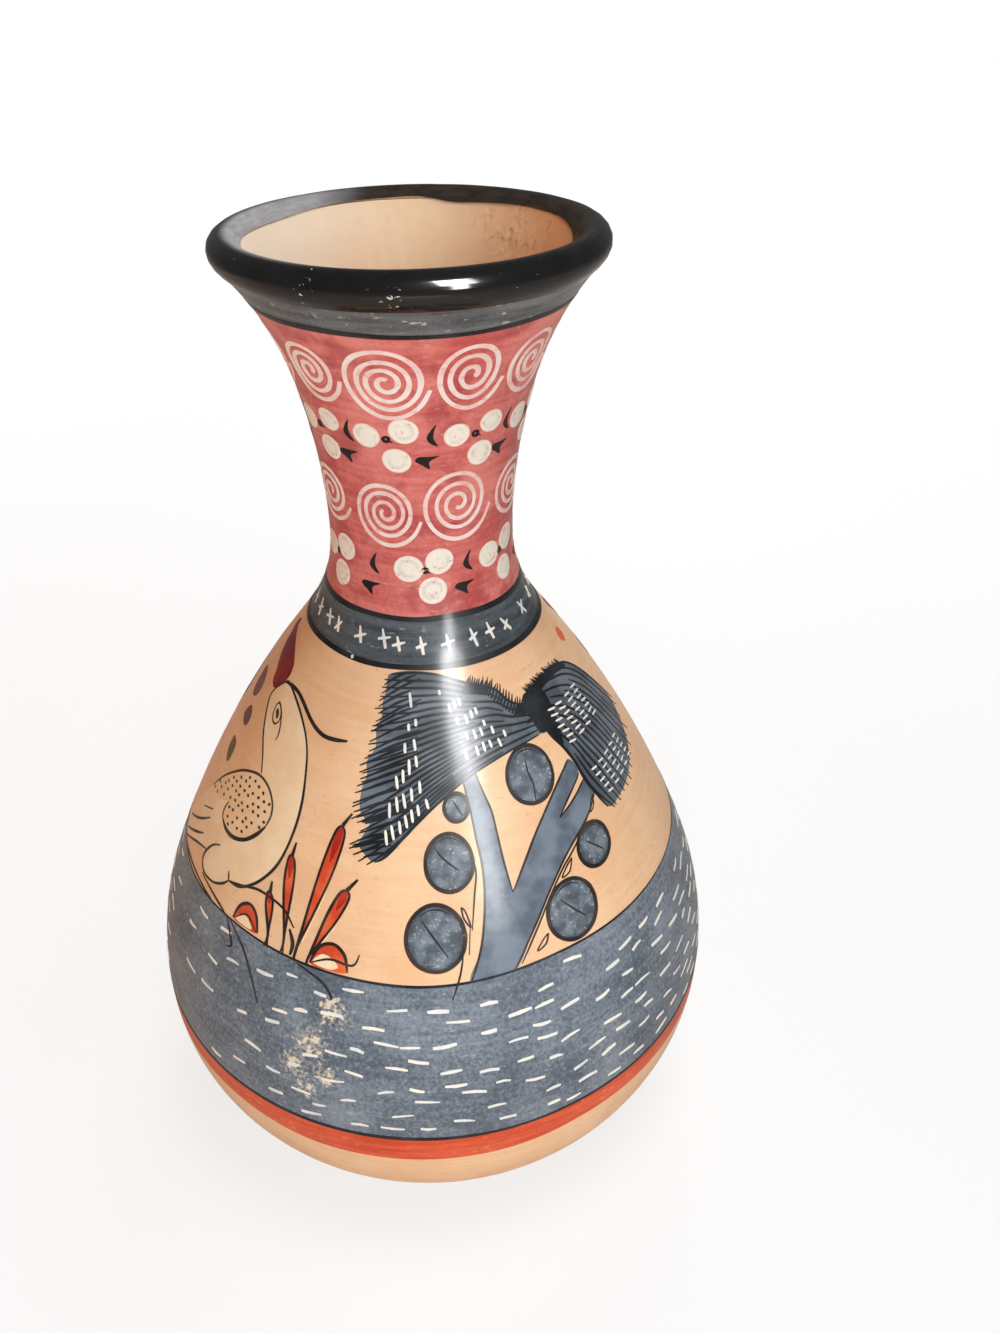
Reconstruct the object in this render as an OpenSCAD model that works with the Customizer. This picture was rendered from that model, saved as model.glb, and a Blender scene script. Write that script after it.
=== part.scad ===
// Hand-built earthenware vase: low round belly, waisted neck, trumpet mouth with a coiled rim.
// Four clay members are luted together at bevelled seams, and coloured slip coats the outside.
// The outside wall is one chain of tangent arcs in the radius and height plane. Leans are in
// degrees from upright, outwards positive, and depths run inwards from the outside face.

/* [Body] */
// Diameter of the flat foot
foot_d = 86; // [78:1:98]
// Greatest diameter, over the belly
belly_d = 138; // [130:1:150]
// Height of the belly's widest ring
belly_z = 40; // [35:1:46]
// Outward lean of the wall where it leaves the foot
heel_lean = 77; // [72:1:84]
// Lean at which the tight heel opens into the rounder bowl
heel_turn = 44; // [36:1:50]
// Radius of the wall's curve just above the belly
swell_r = 78; // [60:1:90]
// Inward lean at which the belly's curve passes into the flatter shoulder
shoulder_turn = 21; // [16:1:24]
// Radius of the hollow where the shoulder turns up into the neck
root_r = 35; // [20:1:50]

/* [Neck] */
// Outside diameter of the neck's narrowest ring
waist_d = 38; // [34:1:46]
// Height of the neck's narrowest ring
waist_z = 156.5; // [150:0.5:164]
// Outward lean at which the neck's slow curve passes into the flare
neck_turn = 15.5; // [12:0.5:19]
// Outward lean of the wall at the rim
flare_lean = 41; // [36:1:46]
// Outside diameter of the mouth, over the rim coil
mouth_d = 74; // [68:1:80]
// Height of the clay, to the top of the rim coil
height = 218; // [210:1:226]

/* [Clay] */
// Thickness of the wall and of the floor
wall = 5; // [3.5:0.5:6]
// How far the rim coil stands out from each face of the wall
lip_swell = 0.5; // [0.3:0.1:1]
// Distance from the middle of the rim coil down to its seat on the wall
rim_seat = 1.5; // [1:0.1:2]
// Height of the seam where the neck is set on the shoulder
neck_seam_z = 141; // [137:1:145]
// How far a bevelled seam climbs across the wall
seam_bevel = 4; // [2:0.5:6]
// Thickness of the luting clay in a seam
lute_t = 0.8; // [0.4:0.1:1.2]

/* [Slip coats] */
// Thickness of a coat of slip
slip_t = 0.25; // [0.15:0.05:0.4]
// Height of the bare ring left at the foot
bare_foot_h = 1.5; // [1:0.5:4]
// How far the red foot stripe reaches below the belly seam
stripe_drop = 5.2; // [4:0.2:8]
// How far the red foot stripe reaches above the belly seam
stripe_rise = 2.2; // [1.6:0.2:5]
// Height of the dark ground band above the stripe
ground_h = 38; // [30:1:46]
// Height of the dark collar over the neck seam
collar_h = 9.5; // [7:0.5:14]
// How far the dark band under the rim reaches below the mouth's top
rim_band_drop = 12; // [10:0.5:16]

/* [Hidden] */
$fn = 180;
// How far a chord of the wall may stray from its true arc
chord_error = 0.03;

buff_clay = "#d9ab80";
buff_slip = "#dca573";
red_slip = "#a8484a";
orange_slip = "#c4512f";
blue_grey_slip = "#565a61";
black_slip = "#26252a";

foot_r = foot_d / 2;
belly_r = belly_d / 2;
waist_r = waist_d / 2;
lip_r = wall / 2 + lip_swell;
lip_centre = [mouth_d / 2 - lip_r, height - lip_r];

// Unit vectors across and up a wall that leans outwards by f
function outward(f) = [cos(f), -sin(f)];
function upward(f) = [sin(f), cos(f)];

// Radii of two tangent arcs, met first to last, whose leans run from f0 by f1 to f2 over a given run
function shares(f0, f1) = [cos(f1) - cos(f0), sin(f0) - sin(f1)];
function arc_pair(f0, f1, f2, run) =
    let (a = shares(f0, f1), b = shares(f1, f2), span = a[0] * b[1] - a[1] * b[0])
    [(run[0] * b[1] - run[1] * b[0]) / span, (a[0] * run[1] - a[1] * run[0]) / span];

// An arc of the outside wall: centre, radius, side (1 swelling, -1 hollow), lean at its foot and top
function arc_through(point, f, radius, side, f0, f1) =
    [point - side * radius * outward(f), radius, side, f0, f1];
function arc_point(arc, f) = arc[0] + arc[2] * arc[1] * outward(f);

belly_point = [belly_r, belly_z];
waist_point = [waist_r, waist_z];
flare_end = lip_centre + wall / 2 * outward(flare_lean);

heel_pair = arc_pair(heel_lean, heel_turn, 0, belly_point - [foot_r, 0]);
heel_arc = arc_through([foot_r, 0], heel_lean, heel_pair[0], 1, heel_lean, heel_turn);
bowl_arc = arc_through(belly_point, 0, heel_pair[1], 1, heel_turn, 0);
swell_arc = arc_through(belly_point, 0, swell_r, 1, 0, -shoulder_turn);
swell_end = arc_point(swell_arc, -shoulder_turn);

// The shoulder swells from the end of the belly's curve until it touches the hollow of the neck's root
root_centre = waist_point + [root_r, 0];
to_root = root_centre - swell_end;
shoulder_out = outward(-shoulder_turn);
shoulder_r = (to_root * to_root - root_r * root_r) / (2 * (root_r - to_root * shoulder_out));
shoulder_centre = swell_end - shoulder_r * shoulder_out;
shoulder_lean = atan2(root_centre[1] - shoulder_centre[1], root_centre[0] - shoulder_centre[0]);
shoulder_arc = [shoulder_centre, shoulder_r, 1, -shoulder_turn, -shoulder_lean];
root_arc = [root_centre, root_r, -1, -shoulder_lean, 0];

// Both arcs of the flare are hollow, so their radii come out reversed
flare_pair = arc_pair(0, neck_turn, flare_lean, flare_end - waist_point);
neck_arc = arc_through(waist_point, 0, -flare_pair[0], -1, 0, neck_turn);
flare_arc = arc_through(flare_end, flare_lean, -flare_pair[1], -1, neck_turn, flare_lean);

OUTLINE = [heel_arc, bowl_arc, swell_arc, shoulder_arc, root_arc, neck_arc, flare_arc];

// Heights of the coats' edges
stripe_low_z = belly_z - stripe_drop;
stripe_top_z = belly_z + stripe_rise;
horizon_z = stripe_top_z + ground_h;
collar_low_z = neck_seam_z - collar_h / 2;
collar_top_z = neck_seam_z + collar_h / 2;
rim_band_z = height - rim_band_drop;

// Stations up the outside wall, each a point and a lean, so close that a chord strays by chord_error.
// Every layer of the wall takes its facets from them, so layers lie face to face.
function chord_turn(radius) = 2 * acos(1 - chord_error / radius);
function arc_steps(arc) = ceil(abs(arc[4] - arc[3]) / chord_turn(arc[1]));
function arc_stations(arc) =
    let (steps = arc_steps(arc), turn = (arc[4] - arc[3]) / steps)
    [for (k = [1 : steps]) let (f = arc[3] + k * turn) [arc_point(arc, f), f]];
STATIONS = [[[foot_r, 0], heel_lean], for (arc = OUTLINE) each arc_stations(arc)];
LAST_SPAN = len(STATIONS) - 2;

// Place on the wall, counted in stations, of a height on the outside face
function station_at(z) =
    let (under = len([for (s = STATIONS) if (s[0][1] <= z) s]) - 1,
         i = min(under, LAST_SPAN),
         z0 = STATIONS[i][0][1],
         z1 = STATIONS[i + 1][0][1])
    i + (z - z0) / (z1 - z0);
function station_point(i, depth) = STATIONS[i][0] - depth * outward(STATIONS[i][1]);
function wall_point(u, depth) =
    let (i = min(floor(u), LAST_SPAN), share = u - i)
    (1 - share) * station_point(i, depth) + share * station_point(i + 1, depth);

// Points of one face of a layer, between two heights on the outside face
function face_up(z0, z1, depth) =
    let (u0 = station_at(z0), u1 = station_at(z1))
    [
        wall_point(u0, depth),
        for (i = [floor(u0) + 1 : 1 : ceil(u1) - 1]) station_point(i, depth),
        wall_point(u1, depth)
    ];
function reversed(points) = [for (i = [len(points) - 1 : -1 : 0]) points[i]];

// A cut across the wall is the pair of heights where it meets the outside and the inside face.
// A seam is the pair of cuts under and over its luting clay.
function level_cut(z) = [z, z];
function seam(z, bevel) =
    [for (side = [-1, 1]) [z + (side * lute_t - bevel) / 2, z + (side * lute_t + bevel) / 2]];
belly_seam = seam(belly_z, seam_bevel);
neck_seam = seam(neck_seam_z, seam_bevel);
rim_seam = seam(flare_end[1] - rim_seat * cos(flare_lean), 0);

// Section of a layer of the wall between two cuts
module layer_section(low, high, depth, thick) {
    outer = face_up(low[0], high[0], depth);
    inner = face_up(low[1], high[1], depth + thick);
    polygon(concat(outer, reversed(inner)));
}

module clay_ring(low, high) {
    color(buff_clay)
        rotate_extrude()
            layer_section(low, high, 0, wall);
}

module coat(z0, z1) {
    rotate_extrude()
        layer_section(level_cut(z0), level_cut(z1), -slip_t, slip_t);
}

// Half plane above the seat of the rim coil
module above_rim_seat() {
    u = station_at(rim_seam[1][0]);
    seat = wall_point(u, wall / 2);
    along = wall_point(u, wall) - wall_point(u, 0);
    up = [along[1], -along[0]];
    polygon([seat - along, seat + along, seat + along + 2 * up, seat - along + 2 * up]);
}

// Moulded lower half with its flat floor
module lower_body() {
    outer = face_up(0, belly_seam[0][0], 0);
    inner = face_up(0, belly_seam[0][1], wall);
    floor_z = inner[0][1];
    color(buff_clay)
        rotate_extrude()
            polygon(concat([[0, 0]], outer, reversed(inner), [[0, floor_z]]));
}

module belly_lute() {
    clay_ring(belly_seam[0], belly_seam[1]);
}

module shoulder() {
    clay_ring(belly_seam[1], neck_seam[0]);
}

module neck_lute() {
    clay_ring(neck_seam[0], neck_seam[1]);
}

module neck() {
    clay_ring(neck_seam[1], rim_seam[0]);
}

module rim_lute() {
    clay_ring(rim_seam[0], rim_seam[1]);
}

module rim_coil() {
    color(buff_clay)
        rotate_extrude()
            intersection() {
                translate(lip_centre)
                    circle(r = lip_r);
                above_rim_seat();
            }
}

module heel_slip() {
    color(buff_slip)
        coat(bare_foot_h, stripe_low_z);
}

module foot_stripe() {
    color(orange_slip)
        coat(stripe_low_z, stripe_top_z);
}

module ground_slip() {
    color(blue_grey_slip)
        coat(stripe_top_z, horizon_z);
}

module body_slip() {
    color(buff_slip)
        coat(horizon_z, collar_low_z);
}

module collar_slip() {
    color(blue_grey_slip)
        coat(collar_low_z, collar_top_z);
}

module neck_slip() {
    color(red_slip)
        coat(collar_top_z, rim_band_z);
}

module rim_band_slip() {
    color(blue_grey_slip)
        coat(rim_band_z, rim_seam[1][0]);
}

// Glossy coat over the rim coil, down to its seat on both sides
module lip_slip() {
    color(black_slip)
        rotate_extrude()
            intersection() {
                translate(lip_centre)
                    difference() {
                        circle(r = lip_r + slip_t);
                        circle(r = lip_r);
                    }
                above_rim_seat();
            }
}

lower_body();
belly_lute();
shoulder();
neck_lute();
neck();
rim_lute();
rim_coil();
heel_slip();
foot_stripe();
ground_slip();
body_slip();
collar_slip();
neck_slip();
rim_band_slip();
lip_slip();
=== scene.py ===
"""A burnished earthenware vase: slip coats and folk painting, drawn flat and laid round the turned clay."""
import math

import bmesh
import bpy
import numpy as np
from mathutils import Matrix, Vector
from mathutils.geometry import delaunay_2d_cdt


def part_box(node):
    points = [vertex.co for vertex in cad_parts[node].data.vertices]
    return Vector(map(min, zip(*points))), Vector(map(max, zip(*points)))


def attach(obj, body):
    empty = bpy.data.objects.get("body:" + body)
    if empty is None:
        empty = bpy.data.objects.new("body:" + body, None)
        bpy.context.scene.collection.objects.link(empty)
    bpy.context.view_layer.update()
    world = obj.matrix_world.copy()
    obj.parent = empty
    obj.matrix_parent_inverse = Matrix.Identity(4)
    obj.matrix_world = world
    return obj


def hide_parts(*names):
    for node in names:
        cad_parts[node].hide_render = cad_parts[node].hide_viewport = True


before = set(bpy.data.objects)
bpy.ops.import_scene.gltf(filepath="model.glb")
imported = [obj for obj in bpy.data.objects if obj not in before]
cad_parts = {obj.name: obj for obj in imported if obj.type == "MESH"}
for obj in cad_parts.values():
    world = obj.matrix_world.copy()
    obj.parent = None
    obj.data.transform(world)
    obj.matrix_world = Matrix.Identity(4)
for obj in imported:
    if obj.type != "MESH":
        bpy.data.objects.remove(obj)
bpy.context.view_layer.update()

MM = 0.001

# Clay members and lutes, from the foot to the rim
CLAY_NODES = ("lower_body", "belly_lute", "shoulder", "neck_lute", "neck", "rim_lute", "rim_coil")

# Fineness of the turned and painted meshes
SKIN_STEP = 0.4 * MM
CLAY_ROW = 1.0 * MM
COAT_ROW = 1.2 * MM
SHAPE_STEP = 1.6 * MM
EDGE_SHARE = 0.4
TURN_COLUMNS = 240
BEAD_POINTS = 64
CURVE_PARTS = 5
CORNER_ANGLE = math.radians(40)

# Length under which an edge in the clay's section is one that runs round the pot
SHORT_EDGE = 0.02 * MM
# Height under which a point belongs to the foot, and the start of the inner face above the floor
FOOT_REACH = 0.1 * MM
FLOOR_CLEARANCE = SKIN_STEP / 10
# Depth of the rim coil's top that gives the circle of its bead, and the wall's clearance from that circle
BEAD_CAP = 1.5 * MM
BEAD_CLEARANCE = 0.03 * MM
# Distance from the clay's skin within which a point lies on a member's outer or inner face
FACE_REACH = 0.6 * MM
# Reach of the wet finger along the crease under the bead, outside and inside
OUTER_WIPE = 2.4 * MM
INNER_WIPE = 3.2 * MM

# Limits, in metres, under which points are one and edges have no length
PAINT_WELD = 2e-6
CLAY_WELD = 1e-6
SLIVER = 1e-7
CUT_SLACK = 1e-9
NO_LENGTH_SQUARED = 1e-18
# The same for points of a drawn curve, in degrees and millimetres
CURVE_GAP = 1e-7

# Paint layers: how far each stands above the slip coat, and how deep its hidden underside goes
FILL_LIFT = 0.03 * MM
MARK_LIFT = 0.05 * MM
LINE_LIFT = 0.07 * MM
LIGHT_LIFT = 0.09 * MM
PAINT_SINK = 0.12 * MM
LINE_DEPTH = 0.6

# Brush lines: share of its width that a line swells and thins by, and the finest width in millimetres
LINE_SWELL = (0.88, 1.12)
FINEST_LINE = 0.08
# Hand-drawn edges, in degrees: spacing of their points, and where and how often a level one wanders
EDGE_STEP = 1.5
WANDER_START = -170
WANDER_STEP = 24

# The rim was set by hand: it leans up towards the front right
RIM_LEAN = 0.75 * MM
RIM_LEAN_TURN = math.radians(45)
LEAN_START = 190 * MM

hand = np.random.default_rng(11)


# Section of the clay, read from the frame

def section_edges(node):
    """Edges of a turned CAD node as pairs of (radius, height), without those that run round it."""
    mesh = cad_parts[node].data
    place = np.array([v.co for v in mesh.vertices])
    flat = np.column_stack([np.hypot(place[:, 0], place[:, 1]), place[:, 2]])
    ends = np.array([e.vertices for e in mesh.edges])
    pairs = np.unique(np.round(flat[ends], 6), axis=0)
    return pairs[np.linalg.norm(pairs[:, 0] - pairs[:, 1], axis=1) > SHORT_EDGE]


node_edges = {node: section_edges(node) for node in CLAY_NODES}
clay_edges = np.concatenate(list(node_edges.values()))


def wall_radius(height, pick):
    """Radius at which the clay's section crosses a height: pick is max outside and min inside."""
    (r0, z0), (r1, z1) = clay_edges[:, 0].T, clay_edges[:, 1].T
    crossed = (np.minimum(z0, z1) <= height) & (height <= np.maximum(z0, z1)) & (z0 != z1)
    share = (height - z0[crossed]) / (z1 - z0)[crossed]
    return pick(r0[crossed] + share * (r1 - r0)[crossed])


def bell(reach):
    """Weights of a smooth average over that many neighbours on each side."""
    weights = np.hanning(2 * reach + 3)[1:-1]
    return weights / weights.sum()


def smoothed(path, reach=5):
    """A path of even steps with the corners between its short facets rounded away."""
    padded = np.pad(path, ((reach, reach), (0, 0)), mode="reflect", reflect_type="odd")
    return np.column_stack([np.convolve(column, bell(reach), mode="valid") for column in padded.T])


rim_points = node_edges["rim_coil"].reshape(-1, 2)
bead_points = rim_points[rim_points[:, 1] > rim_points[:, 1].max() - BEAD_CAP]
bead_terms = np.c_[2 * bead_points, np.ones(len(bead_points))]
bead_fit = np.linalg.lstsq(bead_terms, (bead_points ** 2).sum(1), rcond=None)[0]
bead_centre = bead_fit[:2]
bead_radius = math.sqrt(bead_fit[2] + bead_centre @ bead_centre)
rim_top = bead_centre + (0, bead_radius)
body_points = node_edges["lower_body"].reshape(-1, 2)
foot_radius = body_points[body_points[:, 1] < FOOT_REACH][:, 0].max()
floor_height = body_points[body_points[:, 0] < foot_radius][:, 1].min()


def clay_face(lowest, pick):
    """The outer or inner face of the clay from a height up to the rim's bead, as (radius, height) points."""
    heights = np.arange(lowest, bead_centre[1], SKIN_STEP)
    points = np.array([(wall_radius(h, pick), h) for h in heights])
    return smoothed(points[np.hypot(*(points - bead_centre).T) > bead_radius + BEAD_CLEARANCE])


outer_face = clay_face(0, max)
inner_face = clay_face(floor_height + FLOOR_CLEARANCE, min)


def bead_arc():
    """The rim's bead from the outer wall over the top to the inner wall."""
    start = math.atan2(*(outer_face[-1] - bead_centre)[::-1])
    stop = math.atan2(*(inner_face[-1] - bead_centre)[::-1]) % (2 * math.pi)
    turn = np.linspace(start, stop, BEAD_POINTS)[1:-1]
    return bead_centre + bead_radius * np.column_stack([np.cos(turn), np.sin(turn)])


def run_along(path):
    """Distance along a path to each of its points."""
    return np.concatenate([[0], np.cumsum(np.linalg.norm(np.diff(path, axis=0), axis=1))])


def even_steps(path, step):
    """The same path with points a step apart."""
    run = run_along(path)
    even = np.linspace(0, run[-1], round(run[-1] / step) + 1)
    return np.column_stack([np.interp(even, run, column) for column in path.T])


def wiped(path, joint, reach):
    """The path with the crease at a joint filled, as a wet finger leaves it."""
    near = np.clip(2 - np.abs(run_along(path) - joint) / reach, 0, 1)[:, None]
    return path + near * (smoothed(path, round(reach / SKIN_STEP)) - path)


arc = bead_arc()
bare_skin = np.concatenate([outer_face, arc, inner_face[::-1]])
bead_run = run_along(bare_skin)[len(outer_face) - 1]
inner_run = run_along(bare_skin)[len(outer_face) + len(arc)]
skin = wiped(even_steps(bare_skin, SKIN_STEP), bead_run, OUTER_WIPE)
skin = wiped(skin, inner_run, INNER_WIPE)
skin_run = run_along(skin)
top_run = skin_run[skin[:, 1].argmax()]
outer_skin = skin_run < bead_run
slip_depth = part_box("ground_slip")[1].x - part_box("lower_body")[1].x


def run_at(height):
    """Distance up the outer wall, from the foot, to a height."""
    return np.interp(height, skin[outer_skin, 1], skin_run[outer_skin])


def radius_at(height):
    """Radius of the outer wall at a height."""
    return np.interp(height, skin[outer_skin, 1], skin[outer_skin, 0])


# Node trees

class Wire:
    """A node's output. Arithmetic on it adds the Math nodes that work it out."""

    def __init__(self, tree, socket):
        self.tree = tree
        self.socket = socket

    def maths(self, operation, *values):
        """The result of a Math node on values or other outputs."""
        return self.tree.node("ShaderNodeMath", {"operation": operation}, dict(enumerate(values)))["Value"]

    def __add__(self, other):
        return self.maths("ADD", self, other)

    def __sub__(self, other):
        return self.maths("SUBTRACT", self, other)

    def __rsub__(self, other):
        return self.maths("SUBTRACT", other, self)

    def __mul__(self, other):
        return self.maths("MULTIPLY", self, other)

    def __truediv__(self, other):
        return self.maths("DIVIDE", self, other)

    __radd__ = __add__
    __rmul__ = __mul__


class Tree:
    """A node tree under construction, for geometry or for a finish."""

    def __init__(self, tree):
        self.tree = tree

    def node(self, kind, settings=None, sockets=None):
        """Adds a node: its settings first, then values or links for its sockets, by name or number."""
        node = self.tree.nodes.new(kind)
        for name, value in (settings or {}).items():
            setattr(node, name, value)
        for name, value in (sockets or {}).items():
            used = [s for s in node.inputs if s.enabled]
            socket = used[name] if isinstance(name, int) else next(s for s in used if s.name == name)
            if isinstance(value, Wire):
                self.tree.links.new(value.socket, socket)
            else:
                socket.default_value = value
        return {s.name: Wire(self, s) for s in reversed(node.outputs) if s.enabled}


class PaintTree(Tree):
    """A geometry tree with named inputs that ends in one mesh."""

    def __init__(self, name, **inputs):
        super().__init__(bpy.data.node_groups.new(name, "GeometryNodeTree"))
        face = self.tree.interface
        face.new_socket("Geometry", in_out="INPUT", socket_type="NodeSocketGeometry")
        for label, kind in inputs.items():
            face.new_socket(label, in_out="INPUT", socket_type="NodeSocket" + kind)
        face.new_socket("Geometry", in_out="OUTPUT", socket_type="NodeSocketGeometry")
        self.inputs = self.node("NodeGroupInput")

    def result(self, geometry):
        """Ends the tree in that geometry and returns it."""
        self.node("NodeGroupOutput", None, {"Geometry": geometry})
        return self.tree


def laying_tree():
    """Bends a flat drawing round the wall: x runs round at the sheet radius, y up the wall, z out of it."""
    tree = PaintTree("lay_on_wall", skin="Object", sheet_radius="Float", paint="Material")
    flat = tree.node("ShaderNodeSeparateXYZ", None, {0: tree.node("GeometryNodeInputPosition")["Position"]})
    section = tree.node("GeometryNodeObjectInfo", None, {"Object": tree.inputs["skin"]})["Geometry"]
    wall = tree.node("GeometryNodeSampleCurve", {"mode": "LENGTH"}, {"Curves": section, "Length": flat["Y"]})
    point = tree.node("ShaderNodeSeparateXYZ", None, {0: wall["Position"]})
    along = tree.node("ShaderNodeSeparateXYZ", None, {0: wall["Tangent"]})
    angle = flat["X"] / tree.inputs["sheet_radius"]
    radius = point["X"] + flat["Z"] * along["Z"]
    place = tree.node("ShaderNodeCombineXYZ", None, {
        "X": radius * angle.maths("SINE", angle),
        "Y": 0 - radius * angle.maths("COSINE", angle),
        "Z": point["Z"] - flat["Z"] * along["X"],
    })["Vector"]
    bent = tree.node("GeometryNodeSetPosition", None, {
        "Geometry": tree.inputs["Geometry"],
        "Position": place,
    })["Geometry"]
    closed = tree.node("GeometryNodeMergeByDistance", None, {"Geometry": bent, "Distance": PAINT_WELD})
    painted = {"Geometry": closed["Geometry"], "Material": tree.inputs["paint"]}
    return tree.result(tree.node("GeometryNodeSetMaterial", None, painted)["Geometry"])


lay_on_wall = laying_tree()


def laid(tree, geometry):
    """The nodes that lay a tree's flat geometry on the wall."""
    sockets = {name: tree.inputs[name] for name in ("skin", "sheet_radius", "paint")}
    sockets["Geometry"] = geometry
    return tree.node("GeometryNodeGroup", {"node_tree": lay_on_wall}, sockets)["Geometry"]


def line_tree():
    """Sweeps flat paths into brush lines as wide as their points say, and lays them on the wall."""
    tree = PaintTree("brush_lines", skin="Object", sheet_radius="Float", paint="Material")
    paths = tree.node("GeometryNodeMeshToCurve", None, {"Mesh": tree.inputs["Geometry"]})["Curve"]
    level = tree.node("GeometryNodeSetCurveNormal", {"mode": "Z_UP"}, {"Curve": paths})["Curve"]
    brush = tree.node("GeometryNodeCurvePrimitiveQuadrilateral", {"mode": "POINTS"}, {
        "Point 1": (-0.5, 0, 0),
        "Point 2": (0.5, 0, 0),
        "Point 3": (0.5, LINE_DEPTH, 0),
        "Point 4": (-0.5, LINE_DEPTH, 0),
    })["Curve"]
    width = tree.node("GeometryNodeInputNamedAttribute", None, {"Name": "width"})["Attribute"]
    swept = tree.node("GeometryNodeCurveToMesh", None, {
        "Curve": level,
        "Profile Curve": brush,
        "Scale": width,
        "Fill Caps": True,
    })["Mesh"]
    return tree.result(laid(tree, swept))


def dab_tree():
    """Sets a flat brush dab on every point, turned and sized as the point says, and lays them on the wall."""
    tree = PaintTree("brush_dabs", dab="Object", skin="Object", sheet_radius="Float", paint="Material")
    dab = tree.node("GeometryNodeObjectInfo", None, {"Object": tree.inputs["dab"]})["Geometry"]
    turn = tree.node("GeometryNodeInputNamedAttribute", {"data_type": "FLOAT_VECTOR"}, {"Name": "turn"})
    size = tree.node("GeometryNodeInputNamedAttribute", {"data_type": "FLOAT_VECTOR"}, {"Name": "size"})
    turned = tree.node("FunctionNodeEulerToRotation", None, {"Euler": turn["Attribute"]})["Rotation"]
    dabs = tree.node("GeometryNodeInstanceOnPoints", None, {
        "Points": tree.inputs["Geometry"],
        "Instance": dab,
        "Rotation": turned,
        "Scale": size["Attribute"],
    })["Instances"]
    plain = tree.node("GeometryNodeRealizeInstances", None, {"Geometry": dabs})["Geometry"]
    return tree.result(laid(tree, plain))


brush_lines = line_tree()
brush_dabs = dab_tree()


def helper_object(name, data):
    """A new object in the scene."""
    made = bpy.data.objects.new(name, data)
    bpy.context.scene.collection.objects.link(made)
    return made


def skin_curve():
    """The clay's skin as one curve, from the foot up the outer wall, over the rim and down inside."""
    data = bpy.data.curves.new("clay_skin", "CURVE")
    data.dimensions = "3D"
    spline = data.splines.new("POLY")
    spline.points.add(len(skin) - 1)
    for point, (radius, height) in zip(spline.points, skin):
        point.co = (radius, 0, height, 1)
    return helper_object("clay_skin", data)


clay_skin = skin_curve()


def modifier_input(tree, name):
    """Identifier of a geometry tree's named input."""
    return next(s.identifier for s in tree.interface.items_tree if s.name == name and s.in_out == "INPUT")


def settled(name, flat_mesh, tree, **inputs):
    """The plain mesh piece that a geometry tree makes from a flat drawing."""
    drawing = helper_object(name + "_drawing", flat_mesh)
    modifier = drawing.modifiers.new("paint", "NODES")
    modifier.node_group = tree
    for label, value in {"skin": clay_skin, **inputs}.items():
        modifier[modifier_input(tree, label)] = value
    bpy.context.view_layer.update()
    shaped = drawing.evaluated_get(bpy.context.evaluated_depsgraph_get())
    mesh = bpy.data.meshes.new_from_object(shaped)
    mesh.name = name
    bpy.data.objects.remove(drawing)
    return helper_object(name, mesh)


def leaned(mesh):
    """Tilts the part of a mesh that lies near the rim."""
    place = np.empty(3 * len(mesh.vertices))
    mesh.vertices.foreach_get("co", place)
    place = place.reshape(-1, 3)
    share = np.clip((place[:, 2] - LEAN_START) / (rim_top[1] - LEAN_START), 0, 1) ** 2
    across = place[:, 0] * math.sin(RIM_LEAN_TURN) - place[:, 1] * math.cos(RIM_LEAN_TURN)
    place[:, 2] += RIM_LEAN * share * across / rim_top[0]
    mesh.vertices.foreach_set("co", place.ravel())


def finished(piece, replaced=None):
    """Shades a piece smooth between its corners and ties it to the frame."""
    leaned(piece.data)
    piece.data.shade_smooth()
    piece.data.set_sharp_from_angle(angle=CORNER_ANGLE)
    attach(piece, "root")
    if replaced:
        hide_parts(replaced)
    return piece


# Flat drawing: points are (degrees round from the front, height in millimetres)

def flowing(points, closed=False, parts=CURVE_PARTS):
    """A smooth curve through points. A point given twice is a corner."""
    points = np.asarray(points, float)
    ends = (points[-1:], points[:2]) if closed else (points[:1], points[-1:])
    padded = np.concatenate([ends[0], points, ends[1]])
    before, start, stop, after = padded[:-3], padded[1:-2], padded[2:-1], padded[3:]
    bend = 2 * before - 5 * start + 4 * stop - after
    twist = 3 * start - before - 3 * stop + after
    shares = np.arange(parts) / parts
    curve = [0.5 * (2 * start + (stop - before) * t + bend * t ** 2 + twist * t ** 3) for t in shares]
    curve = np.stack(curve, axis=1).reshape(-1, points.shape[1])
    curve = curve if closed else np.concatenate([curve, points[-1:]])
    steps = np.linalg.norm(np.diff(curve[:, :2], axis=0, prepend=curve[:1, :2] - 1), axis=1)
    return curve[steps > CURVE_GAP]


def sheet_points(points, radius):
    """Flat sheet coordinates, in metres, of (degrees, height) points."""
    degrees, heights = np.asarray(points, float)[:, :2].T
    return np.column_stack([np.radians(degrees) * radius, run_at(heights * MM)])


def mean_radius(groups):
    """Radius of the wall at the mean height of groups of (degrees, height) points."""
    heights = np.concatenate([np.asarray(g, float)[:, 1] for g in groups])
    return float(radius_at(heights.mean() * MM))


def inside(points, outline):
    """Which points lie in a closed outline."""
    x, y = points.T
    crossings = np.zeros(len(points), int)
    for (ax, ay), (bx, by) in zip(outline, np.roll(outline, -1, axis=0)):
        if ay != by:
            crossings += ((ay > y) != (by > y)) & (x < ax + (y - ay) / (by - ay) * (bx - ax))
    return crossings % 2 == 1


def edge_distance(points, outline):
    """Distance from each point to a closed outline."""
    starts, stops = outline, np.roll(outline, -1, axis=0)
    ways = stops - starts
    lengths = np.maximum((ways ** 2).sum(1), NO_LENGTH_SQUARED)
    shares = np.clip(((points[:, None] - starts) * ways).sum(2) / lengths, 0, 1)
    return np.linalg.norm(points[:, None] - starts - shares[..., None] * ways, axis=2).min(1)


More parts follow.
